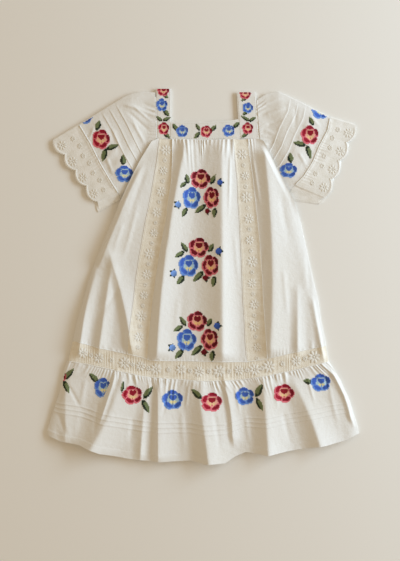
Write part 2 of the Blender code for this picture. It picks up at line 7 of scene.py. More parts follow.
import bpy
import numpy as np
from collections import namedtuple
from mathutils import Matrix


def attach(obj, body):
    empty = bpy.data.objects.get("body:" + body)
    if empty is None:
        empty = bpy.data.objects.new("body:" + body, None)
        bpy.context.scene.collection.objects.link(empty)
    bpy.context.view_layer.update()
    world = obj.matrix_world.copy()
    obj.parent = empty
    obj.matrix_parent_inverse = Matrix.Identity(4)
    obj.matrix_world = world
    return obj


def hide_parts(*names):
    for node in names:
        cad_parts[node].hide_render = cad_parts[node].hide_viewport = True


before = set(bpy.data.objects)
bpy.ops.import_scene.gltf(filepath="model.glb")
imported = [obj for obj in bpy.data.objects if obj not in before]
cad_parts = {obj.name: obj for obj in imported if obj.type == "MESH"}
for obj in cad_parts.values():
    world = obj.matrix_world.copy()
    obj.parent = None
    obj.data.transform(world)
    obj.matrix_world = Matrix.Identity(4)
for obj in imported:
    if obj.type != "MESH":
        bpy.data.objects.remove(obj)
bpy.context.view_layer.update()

# The back: a plain skirt, a band of lace and a ruffle, all of them flat on the
# floor under the front. Cream cotton in a plain weave, and a cotton net. The
# picture doesn't show them, so they are cut to the front's own outline.
MM = 0.001
WALL = 0.7
BACK_STEP = 4.0
BACK_TOP = 1.1
SHARP_ANGLE = 60
SHEEN_ROUGHNESS = 0.5
SPECULAR = 0.25
BODY_COLUMNS = (
    "y", "left", "left_lace_out", "left_lace_in", "right_lace_in", "right_lace_out", "right", "edge_height",
)
BODY_ROWS = (
    (193, -69, -61, -43, 42, 62, 83, 6.2),
    (162, -88, -64, -43, 45, 66, 98, 6.6),
    (134, -102, -69, -44, 48, 70, 112, 6.6),
    (106, -115, -74, -48, 49, 73, 127, 6.2),
    (78, -127, -80, -52, 51, 76, 136, 2.7),
    (50, -139, -85, -57, 52.5, 79, 142, 2.7),
    (22, -150, -90, -62, 54, 81, 148, 2.7),
    (-6, -160, -94, -66, 55, 83, 154, 2.7),
    (-34, -168, -97, -70, 56, 84, 161, 2.7),
    (-62, -176, -101, -73, 58, 86, 165, 2.7),
    (-90, -182, -104, -76, 59, 88, 171, 2.7),
    (-122, -190, -107, -78, 62, 90, 176, 2.7),
)
BODY = dict(zip(BODY_COLUMNS, np.array(BODY_ROWS, float).T))
BAND_LINE = ((-72, 188), (-64, 192.3), (3, 190), (79, 192.3), (86, 188))
BAND_TOP = ((-45, 216), (3, 216), (38, 218), (51, 220))
LACE_TOP = (
    (-179, -91), (-144, -101), (-88, -113), (-74, -118), (24, -120), (62, -120), (83, -117), (122, -108),
    (174, -97),
)
LACE_FOOT = (
    (-190, -119), (-165, -123), (-123, -132), (-81, -141), (-46, -144), (3, -147), (45, -146), (83, -141),
    (122, -133), (176, -120),
)
HEM = (
    (-217, -223), (-200, -231), (-172, -236), (-157, -242), (-144, -248), (-102, -256), (-60, -260),
    (-18, -258), (3, -262), (31, -261), (45, -252), (60, -246), (74, -248), (90, -250), (112, -246),
    (136, -242), (174, -236), (199, -230), (217, -221),
)
RUFFLE_LEFT = ((-190, -119), (-195, -132), (-201, -160), (-210, -188), (-218, -216), (-217, -223))
RUFFLE_RIGHT = ((176, -120), (192, -140), (204, -165), (211, -189), (217, -213), (218, -221))


def level(line, x):
    """Height y of a level line at x."""
    points = np.array(line, float)
    return np.interp(x, points[:, 0], points[:, 1])


def down_to(top, foot, x, share):
    """Height y at x, a share of the way down from one level line to another."""
    return level(top, x) * (1 - share) + level(foot, x) * share


def walk(line, share):
    """Points at shares of the way along a line."""
    points = np.array(line, float)
    steps = np.hypot(*np.diff(points, axis=0).T)
    travelled = np.concatenate(([0], np.cumsum(steps))) / steps.sum()
    return np.stack([np.interp(share, travelled, points[:, k]) for k in (0, 1)], axis=-1)


def seam_x(column, y):
    """Place of a seam of the body at y."""
    return np.interp(-y, -BODY["y"], BODY[column])


def between(left, right, top, foot, u, share):
    """Places between two seams and two level lines, a share u across and a share down."""
    y = down_to(top, foot, 0, share) + 0 * u
    for _ in range(4):
        left_x, right_x = left(y), right(y)
        x = left_x + u * (right_x - left_x)
        y = down_to(top, foot, x, share)
    return x, y


def shares(rows, columns):
    """A grid of shares across, u, and shares down."""
    return np.meshgrid(np.linspace(0, 1, columns), np.linspace(0, 1, rows))


def body_seam(column):
    """A seam of the body as a function of y."""
    return lambda y: seam_x(column, y)


def ruffle_sides(share):
    """Both ends in x of the ruffle, a share of the way down."""
    return walk(RUFFLE_LEFT, share)[..., 0], walk(RUFFLE_RIGHT, share)[..., 0]


def ruffle_point(u, share):
    """Place on the floor of a point of the ruffle, from its sides, top and hem."""
    left_x, right_x = ruffle_sides(share)
    x = left_x + u * (right_x - left_x)
    return x, down_to(LACE_FOOT, HEM, x, share)


def grid_faces(index):
    """Two triangles for each cell of a grid of corner numbers, rows down and columns right."""
    a, b, c, d = index[:-1, :-1], index[1:, :-1], index[1:, 1:], index[:-1, 1:]
    return np.concatenate([np.stack([a, b, c], -1).reshape(-1, 3), np.stack([a, c, d], -1).reshape(-1, 3)])


def edge_faces(fine, coarse):
    """Triangles between two runs of corners, where one has a whole multiple of the other's steps."""
    steps = (len(fine) - 1) // (len(coarse) - 1)
    at = np.arange(len(fine) - 1)
    near = (2 * at + 1 + steps) // (2 * steps)
    run = np.arange(len(coarse) - 1)
    turn = np.searchsorted(near, run + 1)
    fine_side = np.stack([fine[1:], fine[:-1], coarse[near]], -1)
    return np.concatenate([fine_side, np.stack([fine[turn], coarse[:-1], coarse[1:]], -1)])


def xyz(x, y, z):
    """Points from their x, y and z, any of which may be one number."""
    return np.stack(np.broadcast_arrays(x, y, z), axis=-1)


def unit(way):
    """Directions brought to a length of 1."""
    return way / np.maximum(np.linalg.norm(way, axis=-1, keepdims=True), 1e-9)


def facing(grid, wrap=False):
    """Unit normals of a grid of points, rows down and columns right."""
    down = np.gradient(grid, axis=0)
    if wrap:
        across = np.roll(grid, -1, axis=1) - np.roll(grid, 1, axis=1)
    else:
        across = np.gradient(grid, axis=1)
    return unit(np.cross(down, across))


def outward(points, faces):
    """The faces, turned round if they enclose a volume below 0."""
    a, b, c = (points[faces[:, corner]] for corner in range(3))
    return faces[:, ::-1] if np.einsum("ij,ij->", a, np.cross(b, c)) < 0 else faces


def new_piece(name, points, faces, finish, slot, sharp=None):
    """A mesh of triangles, from corners in millimetres, that rides with the dress."""
    mesh = bpy.data.meshes.new(name)
    mesh.vertices.add(len(points))
    mesh.vertices.foreach_set("co", (points * MM).ravel())
    mesh.loops.add(faces.size)
    mesh.loops.foreach_set("vertex_index", faces.ravel().astype(np.int32))
    mesh.polygons.add(len(faces))
    mesh.polygons.foreach_set("loop_start", np.arange(len(faces), dtype=np.int32) * 3)
    mesh.update(calc_edges=True)
    mesh.shade_smooth()
    if sharp is not None:
        mesh.set_sharp_from_angle(angle=np.radians(sharp))
    mesh.materials.append(finish)
    piece = bpy.data.objects.new(name, mesh)
    bpy.context.collection.objects.link(piece)
    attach(piece, "root")
    return piece


def wall(name, outer, inner, finish, slot, ring=False):
    """A closed wall between an outer and a coarser inner grid of points. A ring joins its own sides."""
    top = np.arange(outer[..., 0].size).reshape(outer.shape[:2])
    low = top.size + np.arange(inner[..., 0].size).reshape(inner.shape[:2])
    if ring:
        top, low = (np.concatenate([index, index[:, :1]], axis=1) for index in (top, low))
    rims = [edge_faces(top[-1], low[-1]), edge_faces(top[0, ::-1], low[0, ::-1])]
    if not ring:
        rims += [edge_faces(top[:, 0], low[:, 0]), edge_faces(top[::-1, -1], low[::-1, -1])]
    faces = np.concatenate([grid_faces(top), grid_faces(low)[:, ::-1]] + rims)
    points = np.concatenate([outer.reshape(-1, 3), inner.reshape(-1, 3)])
    return new_piece(name, points, outward(points, faces), finish, slot, sharp=SHARP_ANGLE)


def flat_panel(name, point, width, length, finish, slot):
    """A panel flat on the floor, as high as the back, from places by share."""
    u, share = shares(int(length / BACK_STEP) + 1, int(width / BACK_STEP) + 1)
    x, y = point(u, share)
    upper = xyz(x, y, BACK_TOP)
    return wall(name, upper, upper * (1, 1, 0), finish, slot)


class Shade:
    """A socket of a material. Sums and products of these add Math nodes."""

    def __init__(self, tree, socket=None):
        self.tree, self.socket = tree, socket

    def node(self, kind, settings=None, values=None, output=0):
        """Add a node: its settings are set first, and then its sockets get values or links."""
        made = self.tree.nodes.new("ShaderNode" + kind)
        for name, setting in (settings or {}).items():
            setattr(made, name, setting)
        for socket, value in (values or {}).items():
            if isinstance(value, Shade):
                self.tree.links.new(value.socket, made.inputs[socket])
            else:
                made.inputs[socket].default_value = value
        return Shade(self.tree, made.outputs[output])

    def math(self, operation, *values):
        """One Math node on this value and others."""
        return self.node("Math", {"operation": operation}, dict(enumerate((self, *values))))

    def __add__(self, other):
        return self.math("ADD", other)

    def __sub__(self, other):
        return self.math("SUBTRACT", other)

    def __rsub__(self, other):
        return self.node("Math", {"operation": "SUBTRACT"}, {0: other, 1: self})

    def __mul__(self, other):
        return self.math("MULTIPLY", other)

    __radd__, __rmul__ = __add__, __mul__


def tint(factor, first, second):
    """A colour between two, by a factor that changes over the surface."""
    return factor.node("Mix", {"data_type": "RGBA"}, {0: factor, 6: (*first, 1), 7: (*second, 1)}, output=2)


def noise(place, scale, detail, **more):
    """Soft noise of a scale in cells a metre."""
    return place.node("TexNoise", values={"Vector": place, "Scale": scale, "Detail": detail, **more})


def bump(height, strength, distance):
    """Normals tilted by a height."""
    return height.node("Bump", values={"Strength": strength, "Distance": distance, "Height": height})


def finish_of(name, roughness, sheen, work):
    """A finish of cloth: work takes the place on a piece and gives its colour and its bump."""
    material = bpy.data.materials.new(name)
    material.use_nodes = True
    tree = material.node_tree
    sockets = tree.nodes["Principled BSDF"].inputs
    constants = {
        "Metallic": 0, "Roughness": roughness, "Sheen Weight": sheen, "Sheen Roughness": SHEEN_ROUGHNESS,
        "Specular IOR Level": SPECULAR,
    }
    for socket, value in constants.items():
        sockets[socket].default_value = value
    place = Shade(tree).node("TexCoord", output=3)
    for socket, value in zip(("Base Color", "Normal"), work(place)):
        tree.links.new(value.socket, sockets[socket])
    return material


CREAM = (0.885, 0.885, 0.875)
CREAM_DEEP = (0.85, 0.83, 0.785)
WEAVE = 2 * np.pi / 0.00055
WEAVE_HEIGHT = 0.00003
CRINKLE_HEIGHT = 0.0009
SLUB_HEIGHT = 0.0002


def cotton_work(place):
    """Washed cotton: a fine plain weave, uneven yarn, small crinkles and a soft tone."""
    x, y = (place.node("SeparateXYZ", values={0: place}, output=axis) for axis in (0, 1))
    weave = (x * WEAVE).math("SINE") * (y * WEAVE).math("SINE")
    crinkle, slub, tone = noise(place, 160, 3, Roughness=0.55), noise(place, 420, 2), noise(place, 14, 3)
    height = weave * WEAVE_HEIGHT + crinkle * CRINKLE_HEIGHT + slub * SLUB_HEIGHT
    return tint((tone - 0.3) * 1.6 + slub * 0.25, CREAM, CREAM_DEEP), bump(height, 0.55, 1.0)


# The net's thread is a pale beige. The holes' colour is partly the net's own beige and partly painted shade
# of the cloth lying under the net, seen through the holes.
NET_THREAD = (0.94, 0.90, 0.81)
NET_HOLE_SHADE = (0.83, 0.755, 0.62)
NET_STEP = 0.0014
NET_HEIGHT = 0.0005


def net_work(shaded_hole_colour, thread_colour):
    """Cotton net: small uneven holes one step apart, between soft threads; the holes are painted darker, as
    painted shade of the cloth under the net seen through them.
    """
    def work(place):
        values = {"Vector": place, "Scale": 1 / NET_STEP, "Randomness": 0.35}
        away = place.node("TexVoronoi", {"feature": "F1"}, values)
        thread = away.node("MapRange", values={0: away, 1: 0.2, 2: 0.5, 3: 0.0, 4: 1.0})
        blotch = noise(place, 110, 3)
        colour = tint(thread * 0.55 + (blotch - 0.4) * 2.2, shaded_hole_colour, thread_colour)
        return colour, bump(thread, 0.4, NET_HEIGHT)
    return work


COTTON = finish_of("cream_cotton", 0.85, 0.25, cotton_work), "cotton"
LACE = finish_of("cotton_net", 0.9, 0.15, net_work(NET_HOLE_SHADE, NET_THREAD)), "lace"
body_left, body_right = body_seam("left"), body_seam("right")


def body_panel(left, right):
    """Places of a panel of the body between two of its seams."""
    sides = body_seam(left), body_seam(right)
    return lambda u, share: between(*sides, BAND_LINE, LACE_TOP, u, share)


def lace_point(u, share):
    """Place on the floor of a point of the band of lace."""
    return between(body_left, body_right, LACE_TOP, LACE_FOOT, u, share)


back_skirt = flat_panel("back_panel", body_panel("left", "right"), 300, 310, *COTTON)
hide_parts("back_skirt")
back_lace = flat_panel("back_lace", lace_point, 366, 27, *LACE)
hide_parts("lace_band_back")
back_ruffle = flat_panel("back_ruffle", ruffle_point, 430, 112, *COTTON)
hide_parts("ruffle_back")

# The front of the body: a gathered middle panel and two plain side panels,
# seamed to two strips of lace that widen to the hem. It lies on the back and
# falls in long soft folds; its top is drawn up in fine gathers under the band.
BAND_HEIGHT = 3.5
BODY_HEIGHT = 5.6
EDGE_ROUND = 14.0
TOP_EASE = 20.0
FOLD_FADE = 22.0
FOLD_EDGE_EASE = 1.6
BODY_LENGTH = 312
DRAWN_FROM = (-60, 20)
DRAWN_TO = (78, 22)
INNER_ACROSS = 2
INNER_DOWN = 4
Fold = namedtuple("Fold", "x_start y_start x_end y_end bow rise_left rise_right height_start height_end")
BODY_FOLDS = (
    Fold(-26, 176, -64, -104, -6, 17, 32, 6, 9),
    Fold(26, 178, 27, -106, 0, 40, 26, 6, 10),
    Fold(87, 165, 94, -100, 6, 24, 42, 7, 8),
    Fold(132, -27, 132, -97, 0, 12, 14, 2, 4.5),
    Fold(156, -45, 167, -104, 0, 8, 7, 2, 4),
    Fold(-100, 140, -140, 30, 0, 7, 42, 4, 5),
    Fold(-127, 20, -101, -96, 3, 12, 24, 3, 6),
    Fold(-130, 2, -144, -94, 0, 12, 17, 3, 5),
    Fold(-157, 8, -172, -97, 0, 7, 14, 3, 5),
)
RUFFLE_FOLDS = (
    Fold(-192, -162, -192, -222, 0, 14, 32, 2, 3.5),
    Fold(-116, -150, -158, -244, 4, 40, 46, 5, 12.5),
    Fold(-124, -144, -139, -190, 0, 5, 6, 2.5, 2.5),
    Fold(-83, -190, -87, -245, 0, 12, 12, 2, 4),
    Fold(-63, -158, -63, -250, 0, 9, 32, 3.5, 6.5),
    Fold(-6, -156, 8, -262, 0, 26, 48, 5, 12.5),
    Fold(31, -154, 41, -222, 2, 7, 18, 3.5, 3.5),
    Fold(85, -154, 91, -250, 0, 26, 38, 5, 11.5),
    Fold(132, -158, 164, -242, 3, 27, 38, 3.5, 10),
    Fold(184, -142, 206, -196, 3, 7, 9, 3, 3.5),
)
# Soft creases: x and y of the start and of the end, half width, and height, below 0 for a trough.
BODY_CREASES = (
    (-58, 178, -66, 128, 2.6, 0.9), (-80, 150, -104, 84, 4.0, -0.9), (-92, 96, -112, 22, 3.4, 0.8),
    (-112, 74, -126, 30, 3.0, 0.7), (-118, -20, -150, -62, 4.0, -0.8), (-86, -40, -94, -96, 2.4, 0.8),
    (-52, 96, -50, 34, 3.0, -0.6), (-34, -30, -40, -92, 3.6, 0.5), (38, 172, 36, 84, 1.8, 1.1),
    (50, 168, 56, 110, 2.4, -0.8), (44, 60, 50, -18, 3.0, 0.6), (70, 164, 80, 96, 2.2, 0.9),
    (84, 40, 74, -20, 3.4, -0.7), (108, 112, 120, 46, 4.6, -0.8), (112, 10, 118, -62, 3.4, 0.7),
    (146, 30, 150, -30, 3.0, -0.6), (66, -50, 70, -104, 2.6, 0.7), (8, -60, 4, -108, 2.8, -0.5),
)
RUFFLE_CREASES = (
    (-202, -192, -190, -226, 3.4, -1.0), (-190, -150, -170, -186, 2.6, -0.8),
    (-174, -190, -180, -224, 4.6, 0.5), (-164, -146, -172, -184, 3.4, 0.7),
    (-146, -176, -152, -220, 2.6, -0.8), (-104, -148, -110, -178, 2.2, 0.8),
    (-98, -196, -102, -240, 3.8, -0.8), (-74, -150, -80, -180, 2.0, 0.9), (-48, -150, -56, -196, 2.2, -0.9),
    (-30, -190, -26, -246, 4.0, 0.7), (-20, -152, -24, -186, 2.0, 0.8), (16, -192, 24, -246, 3.6, -0.7),
    (44, -152, 52, -192, 2.2, 0.9), (60, -196, 66, -240, 3.2, 0.7), (100, -150, 104, -184, 2.0, 0.8),
    (112, -190, 122, -236, 4.0, -0.8), (146, -142, 156, -178, 2.2, 0.9), (176, -156, 190, -214, 3.4, 0.8),
    (170, -140, 176, -166, 1.8, -0.7),
)
CREASE_START, CREASE_RISE = 0.1, 0.3
CREASE_END, CREASE_FADE = 1.15, 0.65
CREST_ROUND = 0.08
CREST_POWER = 1.7


def ease(t):
    """A smooth step from 0 to 1."""
    t = np.clip(t, 0, 1)
    return t * t * (3 - 2 * t)


def fold_height(fold, x, y):
    """One fold: a ridge with hollow sides and a slightly rounded crest.

    Its section is (1 - t) to a power, where t is the rounded share of the way
    out from the crest, and it fades past both ends.
    """
    share = (fold.y_start - y) / (fold.y_start - fold.y_end)
    bow = 4 * fold.bow * np.clip(share, 0, 1) * (1 - np.clip(share, 0, 1))
    away = x - fold.x_start - share * (fold.x_end - fold.x_start) - bow
    reach = np.where(away < 0, fold.rise_left, fold.rise_right)
    out = (np.hypot(away / reach, CREST_ROUND) - CREST_ROUND) / (np.hypot(1, CREST_ROUND) - CREST_ROUND)
    section = (1 - np.clip(out, 0, 1)) ** CREST_POWER
    fade = ease((fold.y_start + FOLD_FADE - y) / FOLD_FADE) * ease((y - fold.y_end + FOLD_FADE) / FOLD_FADE)
    height = fold.height_start + np.clip(share, 0, 1) * (fold.height_end - fold.height_start)
    return height * section * fade


def side_x(column, line, y):
    """Side edge of the front at y: the body's and, lower down, the ruffle's."""
    points = np.array(line, float)
    return np.where(y > points[0, 1], seam_x(column, y), np.interp(-y, -points[:, 1], points[:, 0]))


def front_height(x, y):
    """Upper face of the front: rounded side edges, a low body and its folds."""
    left, right = side_x("left", RUFFLE_LEFT, y), side_x("right", RUFFLE_RIGHT, y)
    inside = np.clip(np.minimum(x - left, right - x) / EDGE_ROUND, 0, 1)
    middle = BAND_HEIGHT + (BODY_HEIGHT - BAND_HEIGHT) * ease((BAND_LINE[1][1] - y) / TOP_EASE)
    base = middle + (seam_x("edge_height", y) - middle) * (1 - inside) ** 2
    folds = sum(fold_height(fold, x, y) for fold in BODY_FOLDS + RUFFLE_FOLDS)
    return base + folds * ease(inside * FOLD_EDGE_EASE)


def creases(table, x, y):
    """Soft ridges and troughs along short straight lines, that fade past both ends."""
    total = 0 * x
    for x_start, y_start, x_end, y_end, half, height in table:
        along = np.array([x_end - x_start, y_end - y_start], float)
        length = np.hypot(*along)
        way = along / length
        share = ((x - x_start) * way[0] + (y - y_start) * way[1]) / length
        aside = (x - x_start) * way[1] - (y - y_start) * way[0]
        ends = ease((share + CREASE_START) / CREASE_RISE) * ease((CREASE_END - share) / CREASE_FADE)
        total = total + height * np.exp(-(aside / half) ** 2) * ends
    return total


def wander(x, step, seed):
    """A smooth uneven value from 0 to 1 along x."""
    return 0.5 + 0.5 * np.sin(x / step + 2.3 * np.sin(x / (2.7 * step) + seed) + seed)


def gathers(x, spacing, seed):
    """Uneven gathers along x from 0 to 1: a cosine whose step and height wander."""
    phase = x / spacing + 0.7 * np.sin(x / 11.3 + seed) + 0.25 * np.sin(x / 4.9 + 2.1 * seed)
    return (0.5 + 0.5 * np.cos(2 * np.pi * phase)) ** 1.4 * (0.25 + 0.75 * wander(x, 1.7 * spacing, seed))


def gathered(line, away, reach, height, spacing, seed):
    """Gathers along a seam, of a height and spacing, that die out within a reach of it."""
    return height * gathers(line, spacing, seed) * ease(1 - away / reach)


def body_relief(x, y):
    """Finer form of the body: gathers under the band, short ones above the lower lace, and creases."""
    below, above = level(BAND_LINE, x) - y, y - level(LACE_TOP, x)
    drawn = ease((x - DRAWN_FROM[0]) / DRAWN_FROM[1]) * ease((DRAWN_TO[0] - x) / DRAWN_TO[1])
    lean = x + 0.10 * below * np.sin(x / 14)
    reach = 9 + 26 * wander(x, 5.0, 0.7) ** 2 + 5 * wander(x, 2.1, 1.9)
    top = gathered(lean, below, reach, height=2.0, spacing=4.9, seed=0.4) * drawn
    reach = 45 + 30 * wander(x, 9.0, 1.3)
    slow = gathered(lean, below, reach, height=1.5, spacing=12.5, seed=2.0) * drawn
    foot = gathered(x, above, 5 + 11 * wander(x, 6.1, 2.9) ** 2, height=0.9, spacing=5.6, seed=2.2)
    return top + slow + foot + creases(BODY_CREASES, x, y)


def front_face(x, y):
    """Outer face of the body with its finer form."""
    return front_height(x, y) + body_relief(x, y)


def draped(name, place, rows, columns, relief, finish, slot, step):
    """A panel of the front: its outer face on a fine grid of a step, and a coarser inner one."""
    across = INNER_ACROSS * int(np.ceil(columns / step / INNER_ACROSS))
    along = INNER_DOWN * int(np.ceil(rows / step / INNER_DOWN))
    u, share = shares(along + 1, across + 1)
    x, y = place(u, share)
    smooth, fine = xyz(x, y, front_height(x, y)), xyz(0.0, 0.0, relief(u, share, x, y))
    outer = smooth + fine
    inner = (smooth + np.minimum(fine, 0) - WALL * facing(smooth))[::INNER_DOWN, ::INNER_ACROSS]
    return wall(name, outer, inner, finish, slot)


def plain_relief(u, share, x, y):
    """The body's own finer form."""
    return body_relief(x, y)


def corded(share, inset, width):
    """A rounded cord along both edges of a strip, by the share across it."""
    return sum(np.exp(-((share - middle) / width) ** 2) for middle in (inset, 1 - inset))


def strip_relief(u, share, x, y):
    """A strip of lace: a corded edge along each seam and soft uneven puckers."""
    return 0.3 * corded(u, 0.05, 0.035) + 0.35 * gathers(y, 7.3, 1.1) * np.sin(np.pi * u)


Panel = namedtuple("Panel", "name node left right width relief cloth step flat area")
PANELS = (
    Panel("side_panel_left", "front_side_left", "left", "left_lace_out",
          72, plain_relief, COTTON, 1.3, (0.085, 0.31), 0.0178),
    Panel("lace_strip_left", "insertion_left", "left_lace_out", "left_lace_in",
          28, strip_relief, LACE, 0.95, (0.031, 0.315), None),
    Panel("middle_panel", "front_centre", "left_lace_in", "right_lace_in",
          120, plain_relief, COTTON, 1.25, (0.15, 0.315), 0.041),
    Panel("lace_strip_right", "insertion_right", "right_lace_in", "right_lace_out",
          27, strip_relief, LACE, 0.95, (0.03, 0.315), None),
    Panel("side_panel_right", "front_side_right", "right_lace_out", "right",
          84, plain_relief, COTTON, 1.3, (0.095, 0.305), 0.0215),
)
for spec in PANELS:
    places = body_panel(spec.left, spec.right)
    piece = draped(spec.name, places, BODY_LENGTH, spec.width, spec.relief, *spec.cloth, spec.step)
    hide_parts(spec.node)

# The band of lace between the body and the ruffle: the same net as the strips,
# drawn up in upright ribs, with a narrow heading along each edge.


def band_relief(u, share, x, y):
    """Upright uneven ribs and a corded heading along each edge."""
    ribs = 0.6 * gathers(x, 4.1, 0.9) * (0.4 + 0.6 * np.sin(np.pi * share))
    return 0.3 * corded(share, 0.06, 0.04) + ribs


lace_band = draped("lace_band", lace_point, 27, 366, band_relief, *LACE, 0.9)
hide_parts("lace_band_front")

# The ruffle: a wide strip of the same cotton, gathered into the band of lace
# and falling in deep folds, with three pin tucks above a doubled hem.
RUFFLE_TUCKS = (52, 45.5, 39)
RUFFLE_LENGTH = 112.0
RUFFLE_TOP_WIDTH = 366
HEM_DEPTH = 9.0
HEM_STEP = 0.3
TUCK_HEIGHT = 0.75


def ruffle_share(x, y):
    """Share down and share across of a place on the ruffle."""
    top = level(LACE_FOOT, x)
    share = np.clip((top - y) / (top - level(HEM, x)), 0, 1)
    left_x, right_x = ruffle_sides(share)
    return (x - left_x) / (right_x - left_x), share


def tuck(past):
    """A pin tuck, from the distance past its edge: a sharp edge below and a long slope above."""
    return TUCK_HEIGHT * ease((past + 0.5) / 0.9) * np.exp(-np.maximum(past, 0) / 1.6)


def ruffle_relief(u, share, x, y):
    """Fine gathers at the top, creases, pin tucks, and the step of the doubled hem."""
    at, down = u * RUFFLE_TOP_WIDTH, share * RUFFLE_LENGTH
    up = RUFFLE_LENGTH - down
    lean = at + 0.30 * down * np.sin(at / 21.0)
    reach = 7 + 17 * wander(at, 6.3, 0.2) ** 2 + 4 * wander(at, 2.3, 1.1)
    top = gathered(lean, down, reach, height=1.5, spacing=4.6, seed=1.7) * (0.4 + 0.6 * ease(down / 4))
    soft = gathered(lean, down, 24 + 26 * wander(at, 9.4, 2.2), height=1.2, spacing=11.5, seed=0.3)
    tucks = sum(tuck(up - line) for line in RUFFLE_TUCKS)
    hem = HEM_STEP * ease((HEM_DEPTH + 0.6 - up) / 1.2)
    return top + soft + tucks + hem + creases(RUFFLE_CREASES, x, y)


ruffle = draped("ruffle", ruffle_point, 112, 436, ruffle_relief, *COTTON, 0.95)
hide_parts("ruffle_front")

# The sleeves: puffed tubes of the cotton with three tucks around them, laid out
# flat and set in under the edge of the body, gathered at the armhole and cuff.
Sleeve = namedtuple("Sleeve", "name node armhole cuff top low under_low")
SLEEVES = (
    Sleeve(
        "left_sleeve", "sleeve_left",
        ((-66.8, 258), (-66.2, 225), (-65.4, 192), (-71, 180), (-77, 162), (-85, 141), (-97, 121)),
        ((-174, 213), (-158, 186), (-144, 158), (-130, 134), (-118, 115)),
        ((-66.8, 258), (-88, 259), (-102, 256), (-113, 251), (-139, 235), (-174, 213)),
        ((-97, 121), (-107, 118), (-118, 115)),
        ((-99, 114), (-107, 111), (-115, 108)),
    ),
    Sleeve(
        "right_sleeve", "sleeve_right",
        ((75.2, 247), (77.3, 222), (79.9, 192), (83, 179), (87, 162), (92, 146)),
        ((178, 223), (174, 204), (162, 181), (154, 161), (141, 140), (128, 127)),
        ((75.2, 247), (88, 256), (106, 259), (136, 245), (178, 223)),
        ((92, 146), (109, 134), (128, 127)),
        ((97, 114), (106, 111), (114, 108)),
    ),
)
SLEEVE_TUCKS = (35, 46, 57)
SLEEVE_CREASES = (
    (-112, 247, -74, 253, 2.6, 1.1), (-110, 240, -74, 229, 2.8, 1.2), (-104, 229, -72, 200, 2.6, -0.9),
    (-98, 216, -80, 182, 2.4, 1.0), (-96, 236, -72, 216, 2.0, 0.9), (-126, 205, -112, 168, 2.6, 0.6),
    (-134, 164, -126, 141, 2.6, 0.9), (-152, 208, -160, 190, 2.4, 0.8), (-150, 168, -142, 158, 2.6, -0.8),
    (84, 241, 112, 250, 2.6, 1.1), (86, 226, 116, 235, 2.6, 1.2), (90, 212, 114, 219, 2.4, -0.9),
    (86, 204, 104, 197, 2.8, 0.6), (82, 250, 96, 256, 1.8, 0.8), (90, 184, 102, 190, 2.4, -0.6),
    (130, 236, 128, 206, 2.6, -0.7), (150, 224, 164, 208, 2.4, 0.8), (134, 172, 146, 152, 2.4, 0.8),
)
SLEEVE_EDGE = 3.0
SLEEVE_PUFF = 3.2
ARMHOLE_SHARE = 0.1
CUFF_SHARE = 0.5
UNDER_BODY = 11.0
PUFF_EASE = 25.0
PUFF_START = 58.0
SLEEVE_WALL = 0.6
SLEEVE_ACROSS = 128
SLEEVE_DOWN = 132
SLEEVE_HALF = 150
SLEEVE_ROUND = 0.9
SLEEVE_SEEDS = (1.3, 2.3)
FOLD_INSET = 0.01
FOLD_STEPS = 4


def lower_layer(spec):
    """The lines of a sleeve's lower layer, which lies on the floor."""
    cuff = spec.cuff[:-1] + spec.under_low[-1:]
    armhole = spec.armhole[:-1] + spec.under_low[:1]
    return spec._replace(low=spec.under_low, cuff=cuff, armhole=armhole)


def sleeve_place(spec, s, reach):
    """Place of a point of one layer: its four edges, blended in the way of a Coons patch.

    s runs from the upper fold to the lower one and reach from the cuff to the armhole.
    """
    cuff, armhole = walk(spec.cuff, s), walk(spec.armhole, s)
    top, low = walk(spec.top, 1 - reach), walk(spec.low, 1 - reach)
    s, r = s[..., None], reach[..., None]
    ruled = (1 - r) * cuff + r * armhole + (1 - s) * top + s * low
    cuff_top, cuff_low, head_top, head_low = (
        np.array(corner, float) for corner in (spec.cuff[0], spec.cuff[-1], spec.armhole[0], spec.armhole[-1])
    )
    return ruled - ((1 - r) * ((1 - s) * cuff_top + s * cuff_low) + r * ((1 - s) * head_top + s * head_low))


def inset_place(spec, s, reach):
    """Place of a point of a layer that stops a little short of both folds."""
    return sleeve_place(spec, FOLD_INSET + (1 - 2 * FOLD_INSET) * s, reach)


def sleeve_length(spec, s):
    """Straight length of a sleeve from its cuff to the armhole."""
    return np.linalg.norm(walk(spec.armhole, s) - walk(spec.cuff, s), axis=-1)


def sleeve_height(s, reach, length):
    """Upper face of a sleeve: low at the folds, the cuff and the armhole."""
    rounded = 1 - np.abs(2 * s - 1) ** 4
    to_body = ARMHOLE_SHARE + (1 - ARMHOLE_SHARE) * ease(((1 - reach) * length - UNDER_BODY) / PUFF_EASE)
    to_cuff = CUFF_SHARE + (1 - CUFF_SHARE) * ease(reach * length / PUFF_EASE)
    return SLEEVE_EDGE + SLEEVE_PUFF * rounded * to_body * to_cuff


def off_folds(s):
    """1 on a layer of a tube, going down to 0 at its two folds."""
    return ease(9 * s) * ease(9 * (1 - s))


def sleeve_relief(s, reach, length, seed):
    """Tucks round the sleeve, small gathers at the armhole and cuff, and soft puffs."""
    at, out = s * SLEEVE_HALF, reach * length
    back = length - out
    tucks = sum(tuck(out - line) for line in SLEEVE_TUCKS)
    head = gathered(at, back, 6 + 12 * wander(at, 7.0, seed) ** 2, height=0.9, spacing=5.3, seed=seed)
    cuff = gathered(at, out, 4 + 9 * wander(at, 8.0, seed + 1), height=0.5, spacing=6.1, seed=seed + 1)
    lean = at + 0.35 * back * np.sin(at / 27 + seed)
    puff = 1.5 * gathers(lean, 19.0, seed + 2) * ease((out - PUFF_START) / 12)
    puff = puff * ease(1 - back / (26 + 30 * wander(at, 16, seed)))
    slack = 0.7 * wander(at + 0.5 * out, 6.5, seed) * ease((out - 4) / 8) * ease((33 - out) / 6)
    return (tucks + head + cuff + puff + slack) * off_folds(s)


